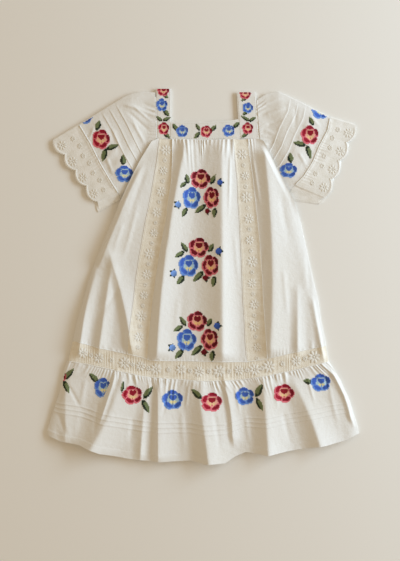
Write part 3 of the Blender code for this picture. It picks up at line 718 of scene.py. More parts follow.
def sleeve_top(spec, s, reach, seed):
    """Points of the upper face of a sleeve."""
    length = sleeve_length(spec, s)
    place = inset_place(spec, s, reach)
    folds = creases(SLEEVE_CREASES, place[..., 0], place[..., 1]) * off_folds(s)
    z = sleeve_height(s, reach, length) + sleeve_relief(s, reach, length, seed) + folds
    return np.concatenate([place, np.maximum(z, SLEEVE_EDGE - 0.5)[..., None]], axis=-1)


def tube(upper, under, upper_z, rim):
    """Rings of a flattened tube: over the top, round the lower fold, back along the floor.

    upper and under are grids of places from the upper fold to the lower one.
    Each fold is half a circle between the edges of the two layers.
    """
    def fold(start, end, start_z, way):
        angle = np.linspace(0, np.pi, FOLD_STEPS + 2)[None, 1:-1, None]
        middle, out = (start + end)[:, None] / 2, way * rim
        place = middle + (start - end)[:, None] / 2 * np.cos(angle) + out * np.sin(angle)
        z = start_z[:, None] * (0.5 + 0.5 * np.cos(angle[..., 0]))
        return np.concatenate([place, z[..., None]], axis=-1)

    top = np.concatenate([upper, upper_z[..., None]], axis=-1)
    floor = np.concatenate([under, 0 * under[..., :1]], axis=-1)[:, ::-1]
    low_out = unit(upper[:, -1:] - upper[:, -2:-1])
    high_out = unit(upper[:, :1] - upper[:, 1:2])
    low_fold = fold(upper[:, -1], under[:, -1], upper_z[:, -1], low_out)
    high_fold = fold(upper[:, 0], under[:, 0], upper_z[:, 0], high_out)[:, ::-1]
    return np.concatenate([top, low_fold, floor, high_fold], axis=1)


def lined(name, ring, finish, slot):
    """A closed wall from a grid of rings, its lining moved in by the wall."""
    normal = facing(ring, wrap=True)
    middle = ring.mean(axis=1, keepdims=True)
    if ((ring - middle) * normal).sum() < 0:
        normal = -normal
    inner = (ring - SLEEVE_WALL * normal)[::2, ::2]
    inner[..., 2] = np.maximum(inner[..., 2], 0)
    return wall(name, ring, inner, finish, slot, ring=True)


for spec, seed in zip(SLEEVES, SLEEVE_SEEDS):
    top = sleeve_top(spec, *shares(SLEEVE_DOWN + 1, SLEEVE_ACROSS), seed)
    under = inset_place(lower_layer(spec), *shares(SLEEVE_DOWN + 1, SLEEVE_ACROSS // 4))
    piece = lined(spec.name, tube(top[..., :2], under, top[..., 2], SLEEVE_ROUND), *COTTON)
    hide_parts(spec.node)

# The edging of the sleeves: the same lace, sewn round each cuff, with a rim of
# deep scallops. The lower layer shows past the upper one at the underarm.
Edging = namedtuple("Edging", "name node first last under_last scallops under_scallops")
EDGINGS = (
    Edging("edging_left", "sleeve_lace_left", (-209, 192), (-148, 105), (-140.4, 94.1), 4, 4.5),
    Edging("edging_right", "sleeve_lace_right", (212, 213), (168, 110), (160, 101), 4, 5),
)
# The edging's holes are partly the lace's own tone and partly painted shade of the layer under the edging,
# seen through the holes.
EDGING_THREAD = (0.95, 0.94, 0.91)
EDGING_HOLE_SHADE = (0.84, 0.81, 0.74)
SCALLOP_DEPTH = 7.0
SCALLOP_ROUNDNESS = 0.7
SCALLOP_POINT = 0.7
SCALLOP_POINTS = 9
EDGING_GAP = 0.4
EDGING_TIP = 2.9
EDGING_FOLD = 2.4
EDGING_ROUND = 0.6
EDGING_ACROSS = 160
EDGING_DOWN = 36
RIM_CORD, CUFF_CORD, RIBS = 0.7, 0.5, 0.35


def away_from_body(first, last):
    """Unit direction on the floor at right angles to a line, away from the body."""
    along = np.array(last, float) - np.array(first, float)
    way = np.array([along[1], -along[0]]) / np.linalg.norm(along)
    return way * np.sign(way[0] * first[0])


def edging_layer(first, last, cuff, scallops, s, share):
    """Places of one layer, from the cuff to a rim of half-round scallops with small points along them."""
    outward_way = away_from_body(first, last)
    turn = np.pi * scallops * s
    bulge = SCALLOP_DEPTH * np.abs(np.sin(turn)) ** SCALLOP_ROUNDNESS
    bulge += SCALLOP_POINT * np.abs(np.sin(SCALLOP_POINTS * turn))
    rim = np.array(first) + s[..., None] * (np.array(last) - np.array(first)) + bulge[..., None] * outward_way
    seam = walk(cuff, s) + EDGING_GAP * outward_way
    return seam * (1 - share[..., None]) + rim * share[..., None]


def upper_edging(spec, owner, s, share):
    """Places of the upper layer of an edging."""
    return edging_layer(spec.first, spec.last, owner.cuff, spec.scallops, s, share)


def edging_height(owner, s, share):
    """Smooth upper face of an edging, from the cuff's height down to its rim's."""
    return sleeve_height(s, 0 * s, sleeve_length(owner, s)) * (1 - share) + EDGING_TIP * share


EDGING_LACE = finish_of("edging_net", 0.9, 0.15, net_work(EDGING_HOLE_SHADE, EDGING_THREAD)), "lace"
for spec, owner in zip(EDGINGS, SLEEVES):
    s, share = shares(EDGING_DOWN + 1, EDGING_ACROSS)
    upper = upper_edging(spec, owner, s, share)
    rim_cord = RIM_CORD * np.exp(-((share - 0.95) / 0.03) ** 2)
    cuff_cord = CUFF_CORD * np.exp(-((share - 0.05) / 0.04) ** 2)
    ribs = RIBS * gathers(s * SLEEVE_HALF, 7.3, 0.5) * ease((0.6 - share) / 0.6)
    upper_z = edging_height(owner, s, share) + (rim_cord + cuff_cord + ribs) * off_folds(s)
    upper_z[:, [0, -1]] = EDGING_FOLD
    s, share = shares(EDGING_DOWN + 1, EDGING_ACROSS // 2)
    cuff = lower_layer(owner).cuff
    under = edging_layer(spec.first, spec.under_last, cuff, spec.under_scallops, s, share)
    piece = lined(spec.name, tube(upper, under, upper_z, EDGING_ROUND), *EDGING_LACE)
    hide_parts(spec.node)

# The neckband and straps: doubled strips of the cotton. The straps run over the
# shoulders, and the band crosses between them at the front and at the back.
DOUBLED = 1.6
SEAM = 0.3
BAND_WIDTH = 27
BAND_CROWN = 0.25
STRAP_WIDTH = 20
STRAP_FOOT_Y = 192.6
PRESSED, PRESSED_WIDTH = 0.45, 0.8
Strap = namedtuple("Strap", "name node outer_top inner_top outer_foot inner_foot shoulder_y width")
STRAPS = (
    Strap("left_strap", "strap_left", -66, -45, -64.5, -45, 263, 21),
    Strap("right_strap", "strap_right", 74, 47, 79, 51, 258, 27),
)


def strap_x(spec, y, u):
    """Place across at y on a strap, a share u of the way in from its outer edge."""
    up = (y - STRAP_FOOT_Y) / (spec.shoulder_y - STRAP_FOOT_Y)
    outer_x = spec.outer_foot + up * (spec.outer_top - spec.outer_foot)
    inner_x = spec.inner_foot + up * (spec.inner_top - spec.inner_foot)
    return outer_x + u * (inner_x - outer_x)


def pressed(edge):
    """Height lost near a pressed edge, from the distance to it."""
    return PRESSED * np.exp(-edge / PRESSED_WIDTH)


def band_piece(name, floor):
    """A doubled band between the straps: flat, a little rounded at its long edges."""
    u, share = shares(29, 97)
    left, right = STRAPS
    x, y = between(
        lambda y: strap_x(left, y, 1), lambda y: strap_x(right, y, 1), BAND_TOP, BAND_LINE, u, share,
    )
    edge = np.minimum(share, 1 - share) * BAND_WIDTH
    z = floor + DOUBLED + BAND_CROWN * np.sin(np.pi * share) - pressed(edge)
    return wall(name, xyz(x, y, z), xyz(x, y, floor)[::4, ::4], *COTTON)


back_band = band_piece("back_neckband", 0.0)
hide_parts("back_band")
front_band = band_piece("neckband", DOUBLED + SEAM)
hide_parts("front_band")


def strap_rows(spec, path, u):
    """Points of a strap from a path of (y, z) up the front, over and down the back."""
    y, z = path[:, :1], path[:, 1:]
    return xyz(strap_x(spec, y, u), y, z)


HALF_FOLD, HALF_SEAM = BAND_HEIGHT / 2, SEAM / 2
turn = np.linspace(0, np.pi, 9)[1:-1]
for spec in STRAPS:
    end = spec.shoulder_y - HALF_FOLD
    run = np.linspace(STRAP_FOOT_Y, end, 45)
    bend = np.stack([end + HALF_FOLD * np.sin(turn), HALF_FOLD * (1 + np.cos(turn))], axis=-1)
    lower = np.stack([run[::-1], 0 * run], axis=-1)
    path = np.concatenate([np.stack([run, 0 * run + BAND_HEIGHT], axis=-1), bend, lower])
    inner_bend = np.stack([end + HALF_SEAM * np.sin(turn), HALF_FOLD + HALF_SEAM * np.cos(turn)], axis=-1)
    inner_run = np.stack([run, 0 * run + DOUBLED + SEAM], axis=-1)
    inner_path = np.concatenate([inner_run, inner_bend, lower + (0, DOUBLED)])
    u = np.linspace(0, 1, 25)[None]
    outer = strap_rows(spec, path, u)
    out = facing(outer)
    lost = pressed(np.minimum(u, 1 - u) * STRAP_WIDTH) * np.sign(out[0, 0, 2])
    outer = outer - np.abs(out[..., 2:]) * out * lost[..., None]
    piece = wall(spec.name, outer, strap_rows(spec, inner_path, u[:, ::4])[::4], *COTTON)
    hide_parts(spec.node)

# The flowers of the lace: daisies of thicker thread worked on the net, along
# the strips and the band and round the scallops of the edging.
DAISY_PETALS = 8
PETALS_OUT = 0.6
PETAL_LENGTH, PETAL_WIDTH, PETAL_HEIGHT = 0.80, 0.44, 0.34
KNOT, KNOT_HEIGHT = 0.34, 0.5
DOME_RING, DOME_SHOULDER, DOME_RIM = 0.66, 0.8, -0.1
FLOWER_LIFT, RIB_LIFT, EDGING_LIFT = 0.25, 0.3, 0.2
STRIP_LARGE, STRIP_SMALL = 7.4, 3.4
BAND_LARGE, BAND_SMALL = 8.2, 3.8
EDGING_LARGE, EDGING_SMALL = 7.0, 4.0
LARGE_ROW, SMALL_ROW = 0.74, 0.36
BAND_FLOWERS = (-168, -146, -110, -88, -66, -31, -6, 22, 50, 72, 92, 130, 155)
PALE_THREAD = (0.95, 0.92, 0.85)
RASTER = 1.0
FINER = 3


def looked_up(grid):
    """Height of a grid of points at any place: means over small squares, read between
    their middles. Off the grid it is not a number."""
    x, y, z = grid.reshape(-1, 3).T
    start_x, start_y = x.min() - 2 * RASTER, y.min() - 2 * RASTER
    column, row = ((x - start_x) / RASTER).astype(int), ((y - start_y) / RASTER).astype(int)
    rows, columns = row.max() + 3, column.max() + 3
    square = row * columns + column
    count = np.bincount(square, minlength=rows * columns)
    total = np.bincount(square, z, minlength=rows * columns)
    height = np.where(count > 0, total / np.maximum(count, 1), np.nan).reshape(rows, columns)

    def surface(x, y):
        across, along = (x - start_x) / RASTER - 0.5, (y - start_y) / RASTER - 0.5
        j = np.clip(across.astype(int), 0, columns - 2)
        i = np.clip(along.astype(int), 0, rows - 2)
        a, b = across - j, along - i
        near = height[i, j] * (1 - a) + height[i, j + 1] * a
        return near * (1 - b) + (height[i + 1, j] * (1 - a) + height[i + 1, j + 1] * a) * b

    return surface


def domes(surface, x, y, turn, length, width, height, ring=8):
    """Low domes on a surface: ellipses of a length and width, turned, with a flat rounded top.

    Each has its middle, a ring at two thirds of its size and a rim just under
    the surface. The arguments are arrays with one entry for each dome.
    """
    angle = np.linspace(0, 2 * np.pi, ring, endpoint=False)
    size = np.concatenate([[0], np.full(ring, DOME_RING), np.ones(ring)])
    around = np.concatenate([[0], angle, angle])
    lift = np.concatenate([[1], np.full(ring, DOME_SHOULDER), np.full(ring, DOME_RIM)])
    along = 0.5 * length[:, None] * size * np.cos(around)
    across = 0.5 * width[:, None] * size * np.sin(around)
    cos, sin = np.cos(turn)[:, None], np.sin(turn)[:, None]
    px, py = x[:, None] + along * cos - across * sin, y[:, None] + along * sin + across * cos
    points = xyz(px, py, surface(px, py) + height[:, None] * lift)
    k = np.arange(ring)
    after = (k + 1) % ring
    fan = np.stack([0 * k, 1 + k, 1 + after], -1)
    low = np.stack([1 + k, 1 + ring + k, 1 + ring + after], -1)
    high = np.stack([1 + k, 1 + ring + after, 1 + after], -1)
    faces = np.concatenate([fan, low, high])[None] + (2 * ring + 1) * np.arange(len(x))[:, None, None]
    whole = ~np.isnan(points[..., 2]).any(axis=1)
    keep = points[whole].reshape(-1, 3)
    return keep, faces[: whole.sum()].reshape(-1, 3)


def joined(*parts):
    """Several sets of corners and faces as one."""
    start, points, faces = 0, [], []
    for corners, triangles in parts:
        points.append(corners)
        faces.append(triangles + start)
        start += len(corners)
    return np.concatenate(points), np.concatenate(faces)


def daisies(surface, x, y, turn, radius):
    """Daisies: a ring of eight long petals round a small knot."""
    one = np.ones_like(x)
    radius = radius * one
    angle = turn[:, None] + 2 * np.pi / DAISY_PETALS * np.arange(DAISY_PETALS)
    out = PETALS_OUT * radius[:, None]
    middle_x = (x[:, None] + out * np.cos(angle)).ravel()
    middle_y = (y[:, None] + out * np.sin(angle)).ravel()
    size = np.repeat(radius, DAISY_PETALS)
    petals = domes(
        surface, middle_x, middle_y, angle.ravel(), PETAL_LENGTH * size, PETAL_WIDTH * size,
        PETAL_HEIGHT * np.ones_like(size),
    )
    return joined(petals, domes(surface, x, y, turn, KNOT * radius, KNOT * radius, KNOT_HEIGHT * one))


def thread_work(place):
    """Mercerised cotton thread with a fine twist."""
    twist = noise(place, 900, 2)
    return tint(twist, tuple(0.82 * part for part in PALE_THREAD), PALE_THREAD), bump(twist, 0.4, 0.0002)


pale_thread = finish_of("pale_thread", 0.6, 0.2, thread_work)


def flower_piece(name, surface, large, small):
    """A piece of large and small daisies, each given by x, y, turn and radius."""
    new_piece(name, *joined(daisies(surface, *large), daisies(surface, *small)), pale_thread, "lace")


def above_front(lift):
    """The smooth front as a surface, raised for its finer form."""
    return lambda x, y: front_height(x, y) + lift


def middle_of(*seams):
    """Middle between two seams of the body as a function of y."""
    return lambda y: sum(seam_x(seam, y) for seam in seams) / 2


STRIP_FLOWERS = (
    ("strip_flowers_left", middle_of("left_lace_out", "left_lace_in"), 176, 29),
    ("strip_flowers_right", middle_of("right_lace_in", "right_lace_out"), 170, 30),
)
for name, middle, first, step in STRIP_FLOWERS:
    y = first - step * np.arange(10)
    half = y - step / 2
    large = middle(y) + 1.2 * np.sin(y / 9), y, y / 7, STRIP_LARGE + np.sin(y / 13)
    small = middle(half), half, 0.4 + 0 * half, STRIP_SMALL
    flower_piece(name, above_front(FLOWER_LIFT), large, small)


def band_middle(x):
    """Middle of the band of lace at x."""
    return (level(LACE_TOP, x) + level(LACE_FOOT, x)) / 2


x = np.array(BAND_FLOWERS, float)
half = (x[1:] + x[:-1]) / 2
large = x, band_middle(x) + np.sin(x / 7), x / 5, BAND_LARGE + np.sin(x / 11)
small = half, band_middle(half), 0.1 + 0 * half, BAND_SMALL
flower_piece("band_flowers", above_front(FLOWER_LIFT + RIB_LIFT), large, small)

for spec, owner in zip(EDGINGS, SLEEVES):
    s, share = shares(FINER * EDGING_DOWN, FINER * EDGING_ACROSS)
    z = edging_height(owner, s, share) + EDGING_LIFT
    surface = looked_up(np.concatenate([upper_edging(spec, owner, s, share), z[..., None]], axis=-1))
    middle = (0.5 + np.arange(spec.scallops)) / spec.scallops
    gap = np.arange(1, 2 * spec.scallops) / (2 * spec.scallops)
    rim = upper_edging(spec, owner, middle, LARGE_ROW + 0 * middle).T
    row = upper_edging(spec, owner, gap, SMALL_ROW + 0 * gap).T
    large, small = (*rim, 0.2 + middle, EDGING_LARGE), (*row, 0.5 + gap, EDGING_SMALL)
    flower_piece(spec.name + "_flowers", surface, large, small)

# The embroidery: roses, buds and leaves in cross-stitch, in stranded cotton of
# red, blue and green. Each stitch is worked over one small square of the cloth.
STITCH = 1.2
STITCH_LIFT, STITCH_CORNER = 0.5, 0.3
THREAD_SPREAD = 0.12
SQUARE_ROW = 10000
Rose = namedtuple("Rose", "colour x y width height turn")
ROSES = {
    "middle": (
        ("wine", -2.9, 136.4, 29.4, 28.7, 5), ("blue", -15.4, 109.9, 25.9, 32.2, 10),
        ("wine", 12.3, 110.3, 22.4, 32.2, 36), ("wine", -5.6, 40.6, 29.4, 29.4, 8),
        ("blue", -19.9, 15.0, 28.7, 32.2, 10), ("wine", 10.9, 15.4, 25.2, 31.6, 36),
        ("wine", -7.7, -62.3, 29.4, 29.4, 8), ("blue", -22.4, -88.6, 28.7, 32.2, 10),
        ("wine", 9.8, -87.5, 25.2, 31.6, 36),
    ),
    "ruffle": (
        ("red", -205.0, -139.9, 29.4, 28.0, 0), ("blue", -139.3, -155.4, 25.9, 29.4, 15),
        ("red", -98.0, -165.2, 29.4, 28.0, 30), ("blue", -42.0, -172.2, 30.8, 28.7, 20),
        ("red", 12.6, -175.0, 30.8, 28.0, 10), ("blue", 58.8, -167.3, 28.0, 25.9, 30),
        ("red", 113.4, -163.1, 30.8, 27.3, 0), ("blue", 165.2, -148.4, 29.4, 25.9, 25),
    ),
    "band": (
        ("blue", -28.7, 203.3, 17.9, 17.5, 20), ("red", 4.9, 203.0, 17.5, 17.5, 5),
        ("blue", 36.4, 204.4, 18.2, 17.5, 30),
    ),
    "left_strap": (
        ("red", -55.3, 259.7, 17.5, 15.4, 10), ("blue", -57.4, 240.1, 16.8, 18.9, 20),
        ("red", -54.6, 207.2, 16.5, 18.9, 15),
    ),
    "right_strap": (
        ("red", 59.5, 255.5, 16.8, 15.4, 10), ("blue", 63.0, 235.9, 16.1, 15.4, 0),
        ("red", 63.0, 207.5, 16.1, 17.5, 20),
    ),
    "left_sleeve": (
        ("red", -142.1, 192.1, 26.6, 28.7, 0), ("blue", -109.5, 143.5, 25.9, 24.5, 20),
        ("blue", -165.9, 228.4, 30.0, 30.0, 0),
    ),
    "right_sleeve": (
        ("red", 149.8, 197.8, 26.3, 28.0, 20), ("blue", 120.0, 148.4, 25.2, 21.7, 15),
        ("blue", 164.9, 233.0, 25.9, 25.9, 20),
    ),
}
Leaf = namedtuple("Leaf", "base_x base_y tip_x tip_y width")
LEAVES = {
    "middle": (
        (-21.0, 128.8, -23.1, 142.1, 7.0), (-22.4, 131.6, -32.2, 123.2, 5.6),
        (10.5, 128.1, 17.5, 140.7, 7.0), (-22.4, 95.2, -29.4, 82.6, 7.0), (4.2, 99.4, -11.2, 88.2, 7.7),
        (16.8, 95.2, 15.4, 81.2, 7.0), (-21.7, 33.6, -30.1, 46.9, 7.0), (-25.9, 34.3, -39.2, 25.9, 7.0),
        (7.7, 33.6, 14.7, 44.8, 7.0), (-25.9, 0.7, -36.4, -11.9, 8.4), (0.7, 6.3, -14.0, -7.7, 8.4),
        (16.1, 0.0, 14.0, -15.4, 7.7), (-23.8, -70.0, -32.2, -56.7, 7.0), (-28.0, -69.3, -41.3, -77.7, 7.0),
        (5.6, -70.0, 12.6, -58.8, 7.0), (-28.0, -102.9, -38.5, -115.5, 8.4),
        (-1.4, -97.3, -16.1, -111.3, 8.4), (14.0, -103.6, 11.9, -119.0, 7.7),
    ),
    "ruffle": (
        (-193.9, -144.9, -180.9, -129.5, 7.7), (-195.3, -146.3, -186.5, -163.8, 7.7),
        (-146.3, -149.1, -158.9, -135.8, 8.4), (-83.3, -171.5, -70.7, -154.7, 8.4),
        (-84.7, -172.9, -75.3, -191.1, 8.4), (-113.0, -162.4, -110.9, -145.6, 4.2),
        (-2.1, -170.8, -16.1, -157.5, 8.4), (73.5, -168.7, 82.3, -150.5, 9.1),
        (74.2, -170.1, 83.3, -187.6, 7.7), (151.9, -148.8, 140.0, -145.6, 7.7),
    ),
    "band": (
        (-36.4, 203.7, -42.3, 213.5, 6.3), (-4.9, 203.0, -9.4, 213.5, 4.9),
        (-4.5, 201.9, -12.2, 192.1, 5.6), (11.9, 203.0, 18.6, 211.4, 5.9), (43.4, 207.9, 50.8, 215.6, 6.3),
    ),
    "left_strap": (
        (-56.0, 255.9, -49.0, 248.8, 6.0), (-55.0, 232.4, -47.6, 224.0, 6.3),
        (-56.7, 216.3, -65.8, 224.3, 5.0), (-56.0, 217.4, -45.5, 222.3, 5.3),
        (-54.6, 200.9, -46.5, 193.2, 5.9),
    ),
    "right_strap": (
        (61.6, 250.6, 53.9, 245.0, 5.3), (62.3, 231.0, 55.3, 225.0, 5.3), (65.8, 217.0, 53.2, 224.3, 5.0),
        (65.1, 216.3, 73.9, 222.9, 5.0), (63.4, 200.9, 53.9, 194.0, 5.5),
    ),
    "left_sleeve": (
        (-148.7, 203.7, -144.5, 217.7, 8.1), (-135.1, 177.1, -117.6, 184.1, 7.4),
        (-135.5, 178.5, -140.4, 160.3, 8.0), (-111.0, 154.7, -112.1, 169.8, 8.0),
    ),
    "right_sleeve": (
        (154.4, 210.3, 148.4, 222.6, 6.7), (143.5, 182.3, 126.7, 186.9, 7.7),
        (145.3, 182.7, 150.8, 163.8, 7.3), (122.6, 157.8, 121.8, 172.5, 8.0),
    ),
}
Bud = namedtuple("Bud", "colour x y size")
BUDS = (
    ("blue", 23.1, 130.2, 10.5), ("pale", -34.6, 99.4, 11.2), ("wine", 5.9, 90.3, 9.1),
    ("blue", 21.7, 34.3, 11.9), ("pale", -40.6, 3.5, 11.9), ("wine", 3.5, -2.8, 10.5),
    ("blue", 19.6, -69.3, 11.9), ("pale", -42.7, -100.1, 11.9), ("wine", 1.4, -106.4, 10.5),
)
PETAL, RIM, RING, GOLD, HEART = range(5)
THREADS = {
    "red": (
        (0.36, 0.004, 0.026), (0.80, 0.19, 0.25), (0.96, 0.54, 0.40), (0.95, 0.70, 0.38),
        (0.36, 0.006, 0.026),
    ),
    "wine": (
        (0.17, 0.002, 0.012), (0.76, 0.19, 0.25), (0.94, 0.52, 0.36), (0.94, 0.62, 0.27),
        (0.22, 0.003, 0.014),
    ),
    "blue": (
        (0.060, 0.15, 0.62), (0.17, 0.34, 0.82), (0.52, 0.70, 0.80), (0.90, 0.82, 0.46),
        (0.065, 0.16, 0.62),
    ),
    "pale": ((0.20, 0.36, 0.76),) * 5,
}
FOLD_OVER = ((-127.4, -142.8), (-140.0, -170.8))
FOLD_OVER_REACH = 24.0
SPOOLS = {"red": "red", "wine": "red", "blue": "blue", "pale": "blue"}
LEAF_LIGHT = (0.205, 0.255, 0.12)
LEAF_DARK = (0.024, 0.042, 0.022)
PETAL_VALLEY, PETAL_SWELL, PETAL_ROUND = 0.79, 0.19, 0.6
PETAL_REACH, PETAL_GAP = 0.90, 0.22
ROUND_SHIFT = (0.05, 0.07)
BOWL, BOWL_INSIDE, BOWL_WAVE = 0.57, 0.49, 0.09
GOLD_IN, GOLD_OUT, GOLD_ANGLE = 0.2, 0.46, 52
CLEFT_HALF, CLEFT_IN, CLEFT_OUT = 0.045, 0.3, 0.5
HEART_WIDTH, HEART_HEIGHT, HEART_UP = 0.31, 0.26, 0.09
PETAL_SHADE, ROUND_SHADE, BUD_SHADE = 0.45, 0.12, 0.4
BUD_REACH, POINT_REACH, POINT_LENGTH = 0.74, 0.78, 0.42
PALE_SIDE, PALE_FROM = -0.25, 0.22
LEAF_BASE, LEAF_ROUND = 0.85, 0.75


def cells(x, y, reach):
    """Whole-number squares of the cloth within a reach of a place."""
    i, j = np.meshgrid(
        np.arange(int((x - reach) / STITCH) - 1, int((x + reach) / STITCH) + 2),
        np.arange(int((y - reach) / STITCH) - 1, int((y + reach) / STITCH) + 2),
    )
    return i.ravel(), j.ravel()


def petal_share(x, y, turn):
    """Share of the way out to the rim of a rose of five petals, and how near a petal's middle."""
    lobe = np.abs(np.cos(2.5 * (np.arctan2(y, x) - np.radians(turn))))
    return np.hypot(x, y) / (PETAL_VALLEY + PETAL_SWELL * lobe ** PETAL_ROUND), lobe


def rose_threads(x, y, turn):
    """Which thread works each place of a rose of radius 1, or -1 outside it.

    Five broad dark petals lie on a paler round that is a little lower. Inside
    them are a thin pale line, a bowl that is golden below, and a heart in it.
    """
    distance, angle = np.hypot(x, y), np.degrees(np.arctan2(y, x))
    thread = np.full(x.shape, -1)
    thread[petal_share(x + ROUND_SHIFT[0], y + ROUND_SHIFT[1], turn)[0] < 1] = RIM
    out, lobe = petal_share(x, y, turn)
    thread[(out < PETAL_REACH) & (lobe > PETAL_GAP)] = PETAL
    wavy = 1 + BOWL_WAVE * np.cos(np.radians(5 * (angle + 90)))
    thread[distance < BOWL * wavy] = RIM
    thread[distance < BOWL_INSIDE * wavy] = RING
    thread[(distance > GOLD_IN) & (distance < GOLD_OUT * wavy) & (np.abs(angle + 90) < GOLD_ANGLE)] = GOLD
    thread[(np.abs(x) < CLEFT_HALF) & (y < -CLEFT_IN) & (distance < CLEFT_OUT)] = RIM
    across, up = x / HEART_WIDTH, (y - HEART_UP) / HEART_HEIGHT
    thread[(across ** 2 + up ** 2 - 1) ** 3 < across ** 2 * up ** 3] = HEART
    return thread


def rose_stitches(rose):
    """Squares of a rose and their colours; the petals on its right are deeper.

    Where a deep fold hides part of a rose, only the squares before the fold are worked.
    """
    i, j = cells(rose.x, rose.y, 0.6 * max(rose.width, rose.height))
    x, y = (i * STITCH - rose.x) / (rose.width / 2), (j * STITCH - rose.y) / (rose.height / 2)
    thread = rose_threads(x, y, rose.turn)
    petal, rest = 1 - PETAL_SHADE * np.clip(x, -0.5, 0.8), 1 + ROUND_SHADE * np.clip(-x - y, -1, 1)
    colour = np.array(THREADS[rose.colour])[thread] * np.where(thread == PETAL, petal, rest)[:, None]
    used = thread >= 0
    (x_high, y_high), (x_low, y_low) = FOLD_OVER
    if np.hypot(rose.x - x_high, rose.y - y_high) < FOLD_OVER_REACH:
        used &= (i * STITCH - x_low) * (y_high - y_low) < (j * STITCH - y_low) * (x_high - x_low)
    return i[used], j[used], colour[used]


def bud_stitches(bud):
    """Squares of a bud, a small disc, and of the five green points round its outer side."""
    i, j = cells(bud.x, bud.y, bud.size)
    x, y = (i * STITCH - bud.x) / (bud.size / 2), (j * STITCH - bud.y) / (bud.size / 2)
    distance, angle = np.hypot(x, y), np.arctan2(y, x)
    flower, outer = distance < BUD_REACH, x * np.sign(bud.x) > -0.25
    points = ~flower & outer & (distance < POINT_REACH + POINT_LENGTH * np.abs(np.cos(2.5 * angle)) ** 4)
    petal = np.array(THREADS[bud.colour][PETAL]) * (1 + BUD_SHADE * np.clip(y - x, -1, 1))[:, None]
    green = np.full((points.sum(), 3), LEAF_DARK)
    return (i[flower], j[flower], petal[flower]), (i[points], j[points], green)


def leaf_stitches(leaf):
    """Squares of a leaf: two arcs from base to tip, pale on one side of the midrib."""
    along = np.array([leaf.tip_x - leaf.base_x, leaf.tip_y - leaf.base_y])
    length = np.hypot(*along)
    along = along / length
    i, j = cells((leaf.tip_x + leaf.base_x) / 2, (leaf.tip_y + leaf.base_y) / 2, length / 2)
    x, y = i * STITCH - leaf.base_x, j * STITCH - leaf.base_y
    share = (x * along[0] + y * along[1]) / length
    side = (y * along[0] - x * along[1]) / (leaf.width / 2)
    used = np.abs(side) < np.sin(np.pi * np.clip(share, 0, 1) ** LEAF_BASE) ** LEAF_ROUND
    pale = (side * np.sign(along[0] + 0.01) > PALE_SIDE) & (share > PALE_FROM)
    colour = np.where(pale[:, None], LEAF_LIGHT, LEAF_DARK)
    return i[used], j[used], colour[used]


def cross_stitches(name, surface, i, j, colour, slot):
    """Crosses on a surface: each has raised corners and a raised middle, low between them."""
    ring = [(-1, -1), (0, -1), (1, -1), (1, 0), (1, 1), (0, 1), (-1, 1), (-1, 0), (0, 0)]
    step = np.array(ring) * STITCH / 2
    lift = np.array([STITCH_CORNER, 0] * 4 + [1]) * STITCH_LIFT
    x, y = i[:, None] * STITCH + step[:, 0], j[:, None] * STITCH + step[:, 1]
    z = surface(x, y)
    whole = ~np.isnan(z).any(axis=1)
    points = xyz(x, y, z + lift)[whole]
    k = np.arange(8)
    cross = np.stack([0 * k + 8, k, (k + 1) % 8], -1)
    faces = cross[None] + 9 * np.arange(len(points))[:, None, None]
    piece = new_piece(name, points.reshape(-1, 3), faces.reshape(-1, 3), stranded, slot)
    thread = piece.data.color_attributes.new("thread", "FLOAT_COLOR", "POINT")
    uneven = 1 + THREAD_SPREAD * (np.random.default_rng(len(points)).random((len(points), 1, 1)) - 0.5)
    shade = np.ones((len(points), 9, 4))
    shade[..., :3] = colour[whole][:, None] * uneven
    thread.data.foreach_set("color", shade.ravel().astype(np.float32))


def stranded_work(place):
    """Stranded cotton: the colour of each stitch and the lie of its strands."""
    colour = place.node("Attribute", {"attribute_name": "thread"})
    return colour, bump(noise(place, 1500, 1), 0.5, 0.0002)


def on_ruffle(x, y):
    """Outer face of the ruffle; off its sides it is not a number."""
    u, share = ruffle_share(x, y)
    height = front_height(x, y) + ruffle_relief(u, share, x, y)
    return np.where((u > 0.003) & (u < 0.997), height, np.nan)


def on_strap(spec):
    """Upper face of a strap; past its shoulder it is not a number."""
    return lambda x, y: np.where(y < spec.shoulder_y - 0.5, BAND_HEIGHT + 0 * x, np.nan)


stranded = finish_of("stranded_cotton", 0.6, 0.08, stranded_work)
SURFACES = {
    "middle": front_face,
    "ruffle": on_ruffle,
    "band": lambda x, y: BAND_HEIGHT + 0.2 + 0 * x,
}
SURFACES.update({spec.name: on_strap(spec) for spec in STRAPS})
for spec, seed in zip(SLEEVES, SLEEVE_SEEDS):
    fine = shares(FINER * SLEEVE_DOWN, FINER * SLEEVE_ACROSS)
    SURFACES[spec.name] = looked_up(sleeve_top(spec, *fine, seed))
for panel, surface in SURFACES.items():
    worked = [(SPOOLS[rose.colour], rose_stitches(rose)) for rose in map(Rose._make, ROSES[panel])]
    for bud in map(Bud._make, BUDS if panel == "middle" else ()):
        flower, points = bud_stitches(bud)
        worked += [(SPOOLS[bud.colour], flower), ("green", points)]
    worked += [("green", leaf_stitches(leaf)) for leaf in map(Leaf._make, LEAVES[panel])]
    kinds = np.concatenate([np.full(len(stitches[0]), kind) for kind, stitches in worked])
    i, j, colour = (np.concatenate([stitches[k] for _, stitches in worked]) for k in range(3))
    first = np.unique(i * SQUARE_ROW + j, return_index=True)[1]
    kinds, i, j, colour = kinds[first], i[first], j[first], colour[first]
    for kind in ("red", "blue", "green"):
        own = kinds == kind
        cross_stitches(f"{panel}_{kind}", surface, i[own], j[own], colour[own], "embroidery_" + kind)

